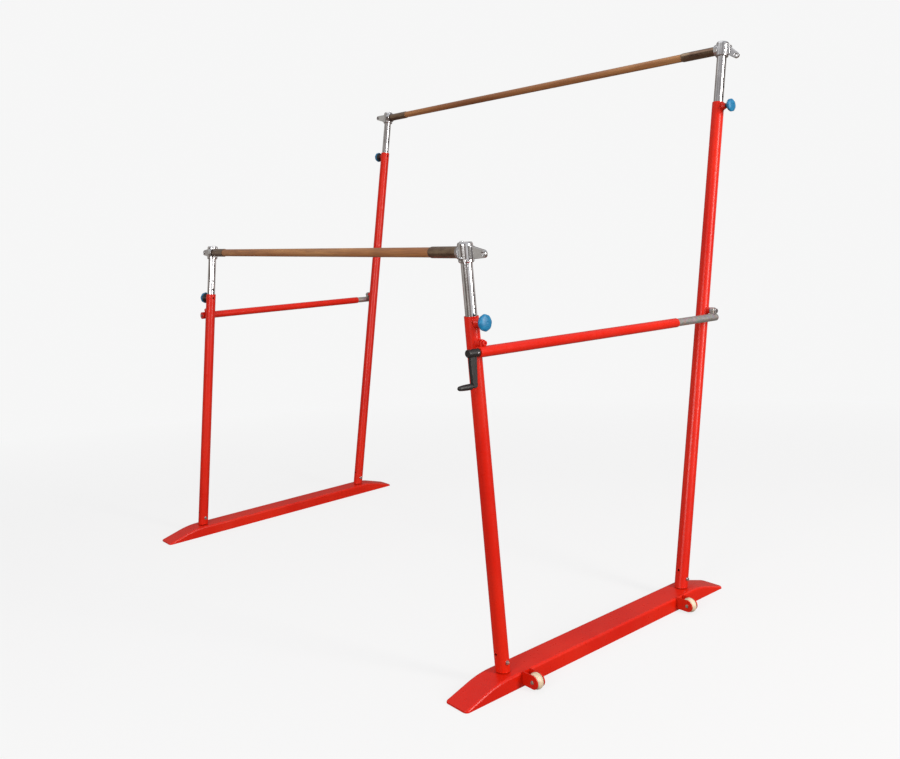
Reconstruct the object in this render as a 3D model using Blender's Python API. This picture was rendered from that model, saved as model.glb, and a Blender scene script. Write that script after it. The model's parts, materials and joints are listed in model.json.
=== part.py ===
"""Uneven parallel bars: two free-standing side frames that carry a low and a high wooden bar.

Metres, +Z up, floor at z = 0.  +X runs along the bars from the left frame to the right frame and
+Y runs from the low bar to the high bar.  Each frame is a folded steel base rail with two
telescopic posts that swing on foot bolts, spread apart by a screw-driven tube (the spreader).
"""
import math

import bmesh
import bpy
from mathutils import Matrix, Vector

# ---- driving dimensions -------------------------------------------------------------------
SIDES = {"left": -1, "right": 1}
LEVELS = ("low", "high")
FRAME_X = 1.200                          # post axis to the middle of the bars
FOOT_Y = {"low": -0.770, "high": 0.346}  # foot bolts
PIVOT_Z = 0.090                          # foot bolt height
OUTWARD_Y = {"low": -1, "high": 1}       # the way each post leans when the frame is spread
LEAN_DEG = {
    ("left", "low"): -5.4,
    ("left", "high"): 10.15,
    ("right", "low"): 2.15,
    ("right", "high"): 14.65,
}
RUNNING_GAP = 0.0003                     # between touching neighbours
OVERSHOOT = 0.010                        # how far a cutter runs past the face it cuts
ROUND = 20                               # facets of a large round piece
SMALL_ROUND = 12                         # facets of a bolt or a hole
HOLE_ROUND = 8                           # facets of an adjustment hole
WELD = 0.000005                          # corners this close are one corner

# base rail
BASE_LENGTH = 1.574
BASE_MID_Y = -0.2215
BASE_WIDTH = 0.112
BASE_HEIGHT = 0.051
BASE_RAMP = 0.165
BASE_TIP = 0.006
BASE_SHEET = 0.003
BASE_LIP = 0.025
BEND_RADIUS = 0.008
FOOT_LUG = (0.020, 0.018, 0.054)
LUG_ABOVE_BOLT = 0.013
BOLT_R = 0.006
FOOT_HEAD = (0.0075, 0.004)              # bolt head radius and height

# posts, measured along the post from its foot bolt
POST_R = 0.0275
POST_BORE_R = 0.0235
POST_TOP = {
    ("left", "low"): 1.280,
    ("right", "low"): 1.266,
    ("left", "high"): 2.152,
    ("right", "high"): 2.195,
}
POST_FLOOR_GAP = 0.0035
POST_WELD_AT = 0.010                     # bosses start this far from the axis, inside the wall
PIN_DROP = 0.022                         # pull pin below the post's top
LUG_AT = {                               # spreader bolt
    ("left", "low"): 1.185,
    ("right", "low"): 1.169,
    ("left", "high"): 1.185,
    ("right", "high"): 1.182,
}
LUG_REACH = 0.043                        # outer end of the spreader lug from the post axis
LUG_R = 0.014
BOSS_REACH = 0.041                       # outer end of the pull pin's boss
BOSS_R = (0.019, 0.012)
SPREADER_HEAD = (0.0090, 0.006)          # bolt head radius and height

# telescopic inner posts and heads
HEAD_AT = {
    ("left", "low"): 1.525,
    ("right", "low"): 1.502,
    ("left", "high"): 2.398,
    ("right", "high"): 2.468,
}
INNER_R = 0.0225
INNER_BORE_R = 0.0195
INNER_LENGTH = 0.720
HOLE_R = 0.005
HOLE_PITCH = 0.050
HOLES_ABOVE_PIN = 2
HOLES_BELOW_PIN = 4
DRUM_R = 0.030
DRUM_HALF = 0.038
DRUM_DOME = (0.006, 0.012)               # width and height of the rounding under its top
DRUM_CHAMFER = 0.004
PLUG_LENGTH = 0.040                      # spigot inside the inner post
COLLAR = (0.034, 0.0280, 0.0345)         # reach towards the bar, radius at its mouth, at the drum
SOCKET_R = 0.0255
SOCKET_FLOOR = 0.006
COLLAR_ROOT = 0.012
TONGUE_TIP_R = 0.015
TONGUE_ROOT_HALF = 0.027
TONGUE_THICKNESS = 0.012
EYELET_R = 0.008
EYELET_AT = {                            # reach from the post axis, height above the drum's middle
    ("left", "low"): (0.118, 0.002),
    ("right", "low"): (0.105, -0.006),
    ("left", "high"): (0.100, 0.012),
    ("right", "high"): (0.074, -0.040),
}
PIN_INSET = 0.019                        # swivel pin from the post axis, towards the bar
SWIVEL_R = 0.005
SWIVEL_CAP = (0.0075, 0.0060, 0.004)     # radius below, radius on top, height
SWIVEL_TIP = 0.002                       # pin tip inside the drum's lower face

# bars
BAR_R = 0.020
BAR_END = 0.008                          # bar end to the post axis
SLEEVE_R = 0.0228
SLEEVE_LENGTH = {"left": 0.175, "right": 0.205}
SWIVEL_HOLE_R = {"left": 0.0053, "right": 0.0085}

# pull pins
BARREL_R = 0.0095
BARREL_LENGTH = 0.008
PIN_R = 0.0045
PIN_TIP = 0.0245
KNOB_R = 0.032
KNOB_DEPTH = 0.032

# spreaders
SPREADER_X = 0.055                       # spreader axis outward from the post axis
SPREADER_DROP = 0.030                    # spreader axis below its bolts
SPREADER_R = 0.020
SPREADER_BORE_R = 0.0175
SPREADER_END = 0.030                     # tube end beyond the low bolt
SPREADER_OUTER = {"left": 1.115, "right": 1.171}
SPREADER_INNER_R = 0.0170
SPREADER_INNER_BORE_R = 0.0140
SPREADER_INNER_LENGTH = 0.580
TAB_X = {"low": (-0.0105, -0.0025), "high": (-0.0105, 0.0105)}   # from the spreader axis
TAB_HALF = {"low": 0.013, "high": 0.0145}
TAB_HOLE_R = {"low": 0.0063, "high": 0.0080}
TAB_END = 0.004                          # tube end beyond the high tab
END_WALL = 0.004
SCREW_R = 0.007
SCREW_COLLAR = (0.012, 0.008)            # radius and length
SCREW_SHORT = 0.050                      # screw tip before the outer tube's mouth
SCREW_OUT = {"left": 0.006, "right": 0.032}
NUT_LENGTH = 0.030

# crank on the right spreader
HUB_R = 0.0150
HUB_LENGTH = 0.053
ARM_DROP = 0.118
ARM_HALF = (0.0185, 0.012)
ARM_THICKNESS = 0.015
HUB_GAP = 0.002                          # hub to the spreader tube's end
HUB_BORE_END = 0.0335                    # from the spreader tube's end
STUD_R = 0.004
STUD_LENGTH = 0.056
GRIP_R = (0.0115, 0.0085)
GRIP_LENGTH = 0.066
GRIP_END_WALL = 0.008
GRIP_CLEARANCE = 0.0015                  # the arm widens towards its hub

# transport wheels on the right base rail
WHEEL_R = 0.0285
WHEEL_WIDTH = 0.030
WHEEL_EDGE = 0.005
WHEEL_Z = 0.031
WHEEL_X = 0.104                          # outward from the post axis
WHEEL_Y = {"low": -0.705, "high": 0.242}
AXLE_R = 0.004
FORK_SHEET = 0.004
FORK_HEIGHT = 0.026
FORK_SIDE_GAP = 0.0015
FORK_REACH = 0.011                       # cheeks beyond the wheel's axis
AXLE_HEAD = (0.0075, 0.005)

# colour, roughness, metallic
FINISHES = {
    "red_paint": ((0.62, 0.018, 0.012), 0.30, 0.0),
    "chrome": ((0.80, 0.80, 0.80), 0.12, 1.0),
    "bronze": ((0.20, 0.13, 0.09), 0.30, 1.0),
    "wood": ((0.36, 0.17, 0.07), 0.50, 0.0),
    "blue_plastic": ((0.02, 0.25, 0.60), 0.35, 0.0),
    "black_plastic": ((0.02, 0.02, 0.02), 0.45, 0.0),
    "cream_nylon": ((0.80, 0.70, 0.52), 0.45, 0.0),
    "zinc_steel": ((0.45, 0.45, 0.43), 0.45, 1.0),
    "brass": ((0.70, 0.48, 0.18), 0.35, 1.0),
}


# ---- modelling helpers --------------------------------------------------------------------
def clear_scene():
    for thing in list(bpy.data.objects):
        bpy.data.objects.remove(thing, do_unlink=True)


def finish_of(name):
    material = bpy.data.materials.get(name)
    if material:
        return material
    colour, roughness, metallic = FINISHES[name]
    material = bpy.data.materials.new(name)
    material.use_nodes = True
    shader = material.node_tree.nodes["Principled BSDF"]
    shader.inputs["Base Color"].default_value = (*colour, 1.0)
    shader.inputs["Roughness"].default_value = roughness
    shader.inputs["Metallic"].default_value = metallic
    return material


def to_object(bm):
    """A closed bmesh as a new object with its faces pointing out."""
    bmesh.ops.recalc_face_normals(bm, faces=bm.faces)
    mesh = bpy.data.meshes.new("shape")
    bm.to_mesh(mesh)
    bm.free()
    shape = bpy.data.objects.new("shape", mesh)
    bpy.context.scene.collection.objects.link(shape)
    return shape


def turned(profile, facets=ROUND, along="Z"):
    """A body of revolution: (radius, height) points turned about an axis.

    A profile that starts and ends on the axis is solid, any other is closed into a ring.
    """
    bm = bmesh.new()
    points = [bm.verts.new((radius, 0.0, height)) for radius, height in profile]
    edges = [bm.edges.new(pair) for pair in zip(points, points[1:])]
    if profile[0][0] > 0:
        edges.append(bm.edges.new((points[-1], points[0])))
    bmesh.ops.spin(
        bm,
        geom=points + edges,
        axis=(0, 0, 1),
        cent=(0, 0, 0),
        steps=facets,
        angle=2 * math.pi,
        use_merge=True,
    )
    bmesh.ops.remove_doubles(bm, verts=bm.verts, dist=1e-6)
    if along == "X":
        bmesh.ops.transform(bm, matrix=Matrix.Rotation(math.pi / 2, 4, "Y"), verts=bm.verts)
    if along == "Y":
        bmesh.ops.transform(bm, matrix=Matrix.Rotation(-math.pi / 2, 4, "X"), verts=bm.verts)
    return to_object(bm)


def rod(radius, start, end, facets=SMALL_ROUND, along="Z"):
    return turned([(0, start), (radius, start), (radius, end), (0, end)], facets, along)


def tube(radius, bore, start, end, facets=ROUND, along="Z"):
    profile = [(bore, start), (radius, start), (radius, end), (bore, end)]
    return turned(profile, facets, along)


def block(size, centre=(0, 0, 0)):
    bm = bmesh.new()
    matrix = Matrix.Translation(centre) @ Matrix.Diagonal((*size, 1.0))
    bmesh.ops.create_cube(bm, size=1.0, matrix=matrix)
    return to_object(bm)


def slab(outline, thickness, turn=None):
    """An outline in the XZ plane, given thickness along Y, then turned by a matrix."""
    bm = bmesh.new()
    corners = [bm.verts.new((x, -thickness / 2, z)) for x, z in outline]
    face = bm.faces.new(corners)
    grown = bmesh.ops.extrude_face_region(bm, geom=[face])
    moved = [item for item in grown["geom"] if isinstance(item, bmesh.types.BMVert)]
    bmesh.ops.translate(bm, vec=(0, thickness, 0), verts=moved)
    if turn:
        bmesh.ops.transform(bm, matrix=turn, verts=bm.verts)
    return to_object(bm)


def shift(shape, x=0.0, y=0.0, z=0.0, turn=None):
    """Moves the mesh itself, so that the shape keeps its origin."""
    matrix = Matrix.Translation((x, y, z))
    if turn:
        matrix = matrix @ turn
    shape.data.transform(matrix)
    return shape


def weld(mesh):
    """Merges the near-double corners that a Boolean can leave."""
    bm = bmesh.new()
    bm.from_mesh(mesh)
    bmesh.ops.remove_doubles(bm, verts=bm.verts, dist=WELD)
    bmesh.ops.dissolve_degenerate(bm, edges=bm.edges, dist=WELD)
    bm.to_mesh(mesh)
    bm.free()


def combine(shape, tools, operation):
    for tool in tools:
        modifier = shape.modifiers.new(operation, "BOOLEAN")
        modifier.operation = operation
        modifier.solver = "EXACT"
        modifier.object = tool
        graph = bpy.context.evaluated_depsgraph_get()
        result = bpy.data.meshes.new_from_object(shape.evaluated_get(graph))
        shape.modifiers.clear()
        shape.data = result
        weld(result)
        bpy.data.objects.remove(tool, do_unlink=True)
    return shape


def joined(shape, *tools):
    return combine(shape, tools, "UNION")


def cut(shape, *tools):
    return combine(shape, tools, "DIFFERENCE")


def place(shape, name, frame, finish):
    shape.name = name
    shape.data.name = name
    shape.data.materials.clear()
    shape.data.materials.append(finish_of(finish))
    shape.data.shade_smooth()
    shape.data.set_sharp_from_angle(angle=math.radians(35))
    shape.matrix_world = frame
    return shape


# ---- frames of reference ------------------------------------------------------------------
def lean_of(side, level):
    """Turn about +X that leans a post outward."""
    return -OUTWARD_Y[level] * math.radians(LEAN_DEG[side, level])


def post_frame(side, level):
    """Origin on the foot bolt, +Z up the post, +X outward from the apparatus."""
    origin = Matrix.Translation((SIDES[side] * FRAME_X, FOOT_Y[level], PIVOT_Z))
    outward = Matrix.Rotation(0.0 if side == "right" else math.pi, 4, "Z")
    return origin @ Matrix.Rotation(lean_of(side, level), 4, "X") @ outward


def head_centre(side, level):
    return post_frame(side, level) @ Vector((0, 0, HEAD_AT[side, level]))


def bar_frame(level):
    """Origin midway between the heads, +X along the bar."""
    left = head_centre("left", level)
    right = head_centre("right", level)
    along = (right - left).normalized()
    across = Vector((0, 0, 1)).cross(along).normalized()
    turn = Matrix((along, across, along.cross(across))).transposed().to_4x4()
    return Matrix.Translation((left + right) / 2) @ turn


def bar_half(level):
    return (head_centre("right", level) - head_centre("left", level)).length / 2


def head_frame(side, level):
    """Origin in the drum, +Z up the post, +X outward and square to the bar's swivel pin."""
    post = post_frame(side, level).to_3x3()
    up = post.col[2]
    bar = bar_frame(level).to_3x3().col[0] * SIDES[side]
    across = up.cross(bar).normalized()
    turn = Matrix((across.cross(up), across, up)).transposed().to_4x4()
    return Matrix.Translation(head_centre(side, level)) @ turn


def lug_centre(side, level):
    point = Vector((SPREADER_X, 0, LUG_AT[side, level]))
    return post_frame(side, level) @ point


def spreader_frame(side):
    """Origin on the low spreader bolt, +Y towards the high one, +X along world X."""
    low = lug_centre(side, "low")
    run = lug_centre(side, "high") - low
    return Matrix.Translation(low) @ Matrix.Rotation(math.atan2(run.z, run.y), 4, "X")


def spreader_span(side):
    return (lug_centre(side, "high") - lug_centre(side, "low")).length


# ---- base rails ---------------------------------------------------------------------------
def rail_outline(inset):
    """Half-profile of the rail in Y and Z, inset by the sheet thickness for its hollow."""
    half = BASE_LENGTH / 2
    if inset:
        foot = half - 4 * inset
        return [
            (-foot, inset),
            (-half + BASE_RAMP + 1.5 * inset, BASE_HEIGHT - inset),
            (half - BASE_RAMP - 1.5 * inset, BASE_HEIGHT - inset),
            (foot, inset),
        ]
    return [
        (-half, 0),
        (-half, BASE_TIP),
        (-half + BASE_RAMP, BASE_HEIGHT),
        (half - BASE_RAMP, BASE_HEIGHT),
        (half, BASE_TIP),
        (half, 0),
    ]


def base_shell():
    quarter = Matrix.Rotation(math.pi / 2, 4, "Z")
    shell = slab(rail_outline(0), BASE_WIDTH, quarter)
    bm = bmesh.new()
    bm.from_mesh(shell.data)
    folds = [
        edge
        for edge in bm.edges
        if min(v.co.z for v in edge.verts) > 0 and abs(edge.verts[0].co.x - edge.verts[1].co.x) < WELD
    ]
    bmesh.ops.bevel(
        bm,
        geom=folds,
        offset=BEND_RADIUS,
        segments=3,
        profile=0.5,
        affect="EDGES",
        clamp_overlap=True,
    )
    bm.to_mesh(shell.data)
    bm.free()
    hollow = slab(rail_outline(BASE_SHEET), BASE_WIDTH - 2 * BASE_SHEET, quarter)
    mouth = block((BASE_WIDTH - 2 * BASE_LIP, BASE_LENGTH - 2 * BASE_RAMP, 4 * BASE_SHEET))
    return cut(shell, hollow, mouth)


def foot_lug(level):
    width, depth, height = FOOT_LUG
    middle = PIVOT_Z + LUG_ABOVE_BOLT - height / 2
    return block((width, depth, height), (0, FOOT_Y[level] - BASE_MID_Y, middle))


def base_rail(side):
    rail = joined(base_shell(), *[foot_lug(level) for level in LEVELS])
    holes = []
    for level in LEVELS:
        reach = FOOT_LUG[0] / 2 + OVERSHOOT
        hole = rod(BOLT_R + RUNNING_GAP, -reach, reach, along="X")
        holes.append(shift(hole, y=FOOT_Y[level] - BASE_MID_Y, z=PIVOT_Z))
    cut(rail, *holes)
    frame = Matrix.Translation((SIDES[side] * FRAME_X, BASE_MID_Y, 0))
    place(rail, f"{side}_base_rail", frame, "red_paint")


def hex_bolt(start, end, radius, head_size, nut=True):
    """A bolt along X: hexagon head beyond its end, and a nut beyond its start."""
    head_r, head_height = head_size
    pieces = [rod(head_r, end, end + head_height, 6, "X")]
    tip = start
    if nut:
        pieces.append(rod(head_r, start - head_height, start, 6, "X"))
        tip = start - head_height / 2
    shank = rod(radius, tip, end + head_height / 2, along="X")
    return joined(shank, *pieces)


def foot_bolt(side, level):
    reach = POST_R + RUNNING_GAP
    frame = Matrix.Translation((SIDES[side] * FRAME_X, FOOT_Y[level], PIVOT_Z))
    bolt = hex_bolt(-reach, reach, BOLT_R, FOOT_HEAD)
    place(bolt, f"{side}_{level}_foot_bolt", frame, "chrome")


# ---- posts --------------------------------------------------------------------------------
def post_boss():
    """Cone that carries the pull pin."""
    return turned(
        [
            (0, POST_WELD_AT),
            (BOSS_R[0], POST_WELD_AT),
            (BOSS_R[0], POST_R),
            (BOSS_R[1], BOSS_REACH),
            (0, BOSS_REACH),
        ],
        SMALL_ROUND,
        "X",
    )


def space_under_post(side, level):
    """Everything below the level plane just above the base rail."""
    plane = BASE_HEIGHT + POST_FLOOR_GAP - PIVOT_Z
    depth = PIVOT_Z
    ground = block((4 * POST_R, 4 * POST_R, depth), (0, 0, plane - depth / 2))
    return shift(ground, turn=post_frame(side, level).to_3x3().to_4x4().inverted())


def outer_post(side, level):
    top = POST_TOP[side, level]
    pin_z = top - PIN_DROP
    lug_z = LUG_AT[side, level]
    foot = -PIVOT_Z
    body = rod(POST_R, foot, top, ROUND)
    lug = rod(LUG_R, POST_WELD_AT, LUG_REACH, SMALL_ROUND, "X")
    joined(body, shift(post_boss(), z=pin_z), shift(lug, z=lug_z))
    bore = rod(POST_BORE_R, foot - OVERSHOOT, top + OVERSHOOT, ROUND)
    reach = POST_R + OVERSHOOT
    foot_hole = rod(BOLT_R + RUNNING_GAP, -reach, reach, along="X")
    pin_hole = rod(PIN_R + RUNNING_GAP, 0, BOSS_REACH + OVERSHOOT, along="X")
    lug_hole = rod(BOLT_R + RUNNING_GAP, 0, LUG_REACH + OVERSHOOT, along="X")
    ground = space_under_post(side, level)
    cut(body, bore, ground, foot_hole, shift(pin_hole, z=pin_z), shift(lug_hole, z=lug_z))
    place(body, f"{side}_{level}_post", post_frame(side, level), "red_paint")


def spreader_bolt(side, level):
    start = POST_BORE_R + RUNNING_GAP
    end = SPREADER_X + TAB_X[level][1] + 2 * RUNNING_GAP
    bolt = hex_bolt(start, end, BOLT_R, SPREADER_HEAD, nut=False)
    frame = post_frame(side, level) @ Matrix.Translation((0, 0, LUG_AT[side, level]))
    finish = "red_paint" if level == "low" else "chrome"
    place(bolt, f"{side}_{level}_spreader_bolt", frame, finish)


def inner_post(side, level):
    top = HEAD_AT[side, level] - DRUM_HALF - RUNNING_GAP
    bottom = top - INNER_LENGTH
    body = tube(INNER_R, INNER_BORE_R, bottom, top)
    pin_z = POST_TOP[side, level] - PIN_DROP
    holes = []
    for step in range(-HOLES_BELOW_PIN, HOLES_ABOVE_PIN + 1):
        reach = INNER_R + OVERSHOOT
        hole = rod(HOLE_R, -reach, reach, HOLE_ROUND, "X")
        holes.append(shift(hole, z=pin_z + step * HOLE_PITCH))
    cut(body, *holes)
    shift(body, z=-HEAD_AT[side, level])
    frame = post_frame(side, level) @ Matrix.Translation((0, 0, HEAD_AT[side, level]))
    place(body, f"{side}_{level}_inner_post", frame, "chrome")


# ---- heads --------------------------------------------------------------------------------
def tongue_outline(reach, height):
    """Plate from the drum to the rounded tip round the cable eyelet."""
    root = DRUM_R / 2
    ends = []
    for sign in (-1, 1):
        run = reach - root
        rise = height - sign * TONGUE_ROOT_HALF
        taper = math.asin(TONGUE_TIP_R / math.hypot(run, rise))
        ends.append(math.atan2(rise, run) + sign * (taper + math.pi / 2))
    points = [(root, -TONGUE_ROOT_HALF)]
    steps = 8
    for step in range(steps + 1):
        angle = ends[0] + (ends[1] - ends[0]) * step / steps
        x = reach + TONGUE_TIP_R * math.cos(angle)
        points.append((x, height + TONGUE_TIP_R * math.sin(angle)))
    points.append((root, TONGUE_ROOT_HALF))
    return points


def drum():
    """Barrel of the head, with the spigot that plugs the inner post."""
    plug_r = INNER_BORE_R - RUNNING_GAP
    plug_end = -DRUM_HALF - PLUG_LENGTH
    profile = [
        (0, plug_end),
        (plug_r, plug_end),
        (plug_r, -DRUM_HALF),
        (DRUM_R - DRUM_CHAMFER, -DRUM_HALF),
        (DRUM_R, -DRUM_HALF + DRUM_CHAMFER),
    ]
    width, height = DRUM_DOME
    steps = 3
    for step in range(steps + 1):
        angle = math.pi / 2 * step / steps
        radius = DRUM_R - width * (1 - math.cos(angle))
        profile.append((radius, DRUM_HALF - height * (1 - math.sin(angle))))
    profile.append((0, DRUM_HALF))
    return turned(profile)


def head(side, level):
    reach, mouth_r, root_r = COLLAR
    collar_outline = [(0, -reach), (mouth_r, -reach), (root_r, -COLLAR_ROOT), (0, -COLLAR_ROOT)]
    collar = turned(collar_outline, ROUND, "X")
    eyelet_x, eyelet_z = EYELET_AT[side, level]
    tongue = slab(tongue_outline(eyelet_x, eyelet_z), TONGUE_THICKNESS)
    body = joined(drum(), collar, tongue)
    socket = rod(SOCKET_R, -reach - OVERSHOOT, -SOCKET_FLOOR, ROUND, "X")
    pin_hole = rod(SWIVEL_R + RUNNING_GAP, -DRUM_HALF - OVERSHOOT, DRUM_HALF + OVERSHOOT)
    eyelet = rod(EYELET_R, -TONGUE_THICKNESS, TONGUE_THICKNESS, along="Y")
    cut(body, socket, shift(pin_hole, x=-PIN_INSET), shift(eyelet, x=eyelet_x, z=eyelet_z))
    place(body, f"{side}_{level}_head", head_frame(side, level), "chrome")


def swivel_pin(side, level):
    tip = -DRUM_HALF + SWIVEL_TIP
    cap = DRUM_HALF + RUNNING_GAP
    cap_r, top_r, cap_height = SWIVEL_CAP
    pin = turned(
        [
            (0, tip),
            (SWIVEL_R, tip),
            (SWIVEL_R, cap),
            (cap_r, cap),
            (top_r, cap + cap_height),
            (0, cap + cap_height),
        ],
        SMALL_ROUND,
    )
    frame = head_frame(side, level) @ Matrix.Translation((-PIN_INSET, 0, 0))
    place(pin, f"{side}_{level}_swivel_pin", frame, "chrome")


# ---- bars ---------------------------------------------------------------------------------
def swivel_holes(level):
    """A hole through each bar end, along its own head's pin."""
    holes = []
    to_bar = bar_frame(level).inverted()
    for side in SIDES:
        hole = rod(SWIVEL_HOLE_R[side], -2 * BAR_R, 2 * BAR_R)
        turn = to_bar @ head_frame(side, level) @ Matrix.Translation((-PIN_INSET, 0, 0))
        holes.append(shift(hole, turn=turn))
    return holes


def bar(level):
    half = bar_half(level) - BAR_END
    body = rod(BAR_R, -half, half, ROUND, "X")
    cut(body, *swivel_holes(level))
    place(body, f"{level}_bar", bar_frame(level), "wood")


def sleeve(side, level):
    half = bar_half(level) - BAR_END
    body = tube(SLEEVE_R, BAR_R + RUNNING_GAP, half - SLEEVE_LENGTH[side], half, ROUND, "X")
    if side == "left":
        shift(body, turn=Matrix.Rotation(math.pi, 4, "Z"))
    cut(body, *swivel_holes(level))
    place(body, f"{side}_{level}_sleeve", bar_frame(level), "bronze")


# ---- pull pins ----------------------------------------------------------------------------
def pull_pin(side, level):
    pin_z = POST_TOP[side, level] - PIN_DROP
    frame = post_frame(side, level) @ Matrix.Translation((0, 0, pin_z))
    start = BOSS_REACH + RUNNING_GAP
    end = start + BARREL_LENGTH
    barrel = tube(BARREL_R, PIN_R + RUNNING_GAP, start, end, SMALL_ROUND, "X")
    place(barrel, f"{side}_{level}_pin_barrel", frame, "black_plastic")
    face = end + RUNNING_GAP
    depth = KNOB_DEPTH
    pin = rod(PIN_R, PIN_TIP, face + depth / 2 - RUNNING_GAP, SMALL_ROUND, "X")
    place(pin, f"{side}_{level}_pull_pin", frame, "zinc_steel")
    knob = turned(
        [
            (0, face + depth / 2),
            (PIN_R + RUNNING_GAP, face + depth / 2),
            (PIN_R + RUNNING_GAP, face),
            (BARREL_R, face),
            (KNOB_R * 0.66, face + depth * 0.20),
            (KNOB_R * 0.95, face + depth * 0.44),
            (KNOB_R, face + depth * 0.62),
            (KNOB_R * 0.90, face + depth * 0.84),
            (KNOB_R * 0.62, face + depth * 0.96),
            (0, face + depth),
        ],
        ROUND,
        "X",
    )
    place(knob, f"{side}_{level}_knob", frame, "blue_plastic")


# ---- spreaders ----------------------------------------------------------------------------
def tab(side, level, y):
    """Strap that stands on the spreader and goes round its bolt."""
    half = TAB_HALF[level]
    steps = 8
    outline = [(-half, -SPREADER_DROP), (half, -SPREADER_DROP)]
    for step in range(steps + 1):
        angle = math.pi * step / steps
        outline.append((half * math.cos(angle), half * math.sin(angle)))
    start, end = TAB_X[level]
    plate = slab(outline, end - start, Matrix.Rotation(math.pi / 2, 4, "Z"))
    return shift(plate, x=SIDES[side] * (start + end) / 2, y=y)


def tab_hole(level, y):
    return shift(rod(TAB_HOLE_R[level], -SPREADER_R, SPREADER_R, along="X"), y=y)


def spreader_outer(side):
    length = SPREADER_OUTER[side]
    body = shift(rod(SPREADER_R, -SPREADER_END, length, ROUND, "Y"), z=-SPREADER_DROP)
    joined(body, tab(side, "low", 0))
    bore = rod(SPREADER_BORE_R, -SPREADER_END + END_WALL, length + OVERSHOOT, ROUND, "Y")
    screw_hole = rod(SCREW_R + RUNNING_GAP, -SPREADER_END - OVERSHOOT, 0, along="Y")
    shift(bore, z=-SPREADER_DROP)
    shift(screw_hole, z=-SPREADER_DROP)
    cut(body, bore, screw_hole, tab_hole("low", 0))
    place(body, f"{side}_spreader_tube", spreader_frame(side), "red_paint")


def spreader_inner(side):
    span = spreader_span(side)
    end = span + TAB_HALF["high"] + TAB_END
    start = end - SPREADER_INNER_LENGTH
    body = shift(rod(SPREADER_INNER_R, start, end, ROUND, "Y"), z=-SPREADER_DROP)
    joined(body, tab(side, "high", span))
    bore = rod(SPREADER_INNER_BORE_R, start - OVERSHOOT, end - END_WALL, ROUND, "Y")
    cut(body, shift(bore, z=-SPREADER_DROP), tab_hole("high", span))
    place(body, f"{side}_spreader_slide", spreader_frame(side), "zinc_steel")
    nut_r = SPREADER_INNER_BORE_R - RUNNING_GAP
    nut = tube(nut_r, SCREW_R + RUNNING_GAP, start, start + NUT_LENGTH, ROUND, "Y")
    shift(nut, z=-SPREADER_DROP)
    place(nut, f"{side}_screw_nut", spreader_frame(side), "brass")


def lead_screw(side):
    """The right screw reaches into the crank's hub, the left one ends just outside its tube."""
    start = -SPREADER_END - SCREW_OUT[side]
    collar_at = -SPREADER_END + END_WALL + RUNNING_GAP
    collar_r, collar_length = SCREW_COLLAR
    body = rod(SCREW_R, start, SPREADER_OUTER[side] - SCREW_SHORT, along="Y")
    joined(body, rod(collar_r, collar_at, collar_at + collar_length, along="Y"))
    shift(body, z=-SPREADER_DROP)
    place(body, f"{side}_lead_screw", spreader_frame(side), "zinc_steel")


# ---- crank --------------------------------------------------------------------------------
def crank_arm_plate():
    """Tapered arm that hangs from the hub's axis, with cut corners round the grip."""
    top, bottom = ARM_HALF
    corner = bottom * 0.6
    outline = [
        (-top, 0),
        (top, 0),
        (bottom, -ARM_DROP),
        (corner, -ARM_DROP - corner),
        (-corner, -ARM_DROP - corner),
        (-bottom, -ARM_DROP),
    ]
    return slab(outline, ARM_THICKNESS, Matrix.Rotation(math.pi / 2, 4, "Z"))


def crank_grip(frame, face):
    """Handle that spins on the arm's stud, open towards the arm."""
    bore_r = STUD_R + RUNNING_GAP
    root_r, tip_r = GRIP_R
    grip = turned(
        [
            (bore_r, 0),
            (root_r, 0),
            (root_r, GRIP_LENGTH * 0.6),
            (tip_r, GRIP_LENGTH * 0.96),
            (tip_r * 0.6, GRIP_LENGTH),
            (0, GRIP_LENGTH),
            (0, GRIP_LENGTH - GRIP_END_WALL),
            (bore_r, GRIP_LENGTH - GRIP_END_WALL),
        ],
        SMALL_ROUND,
        "Y",
    )
    shift(grip, turn=Matrix.Rotation(math.pi, 4, "Z"))
    place(grip, "crank_grip", frame @ Matrix.Translation((0, face, -ARM_DROP)), "black_plastic")


def crank():
    """Hub on the right lead screw's end, with the arm hanging from its middle."""
    frame = spreader_frame("right") @ Matrix.Translation((0, 0, -SPREADER_DROP))
    start = -SPREADER_END - HUB_GAP
    end = start - HUB_LENGTH
    middle = (start + end) / 2
    hub = rod(HUB_R, end, start, ROUND, "Y")
    face = middle - ARM_HALF[1] - GRIP_CLEARANCE
    stud = rod(STUD_R, face - STUD_LENGTH, middle, along="Y")
    joined(hub, shift(crank_arm_plate(), y=middle), shift(stud, z=-ARM_DROP))
    cut(hub, rod(SCREW_R + RUNNING_GAP, -SPREADER_END - HUB_BORE_END, start + OVERSHOOT, along="Y"))
    place(hub, "crank_arm", frame, "black_plastic")
    crank_grip(frame, face)


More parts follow.
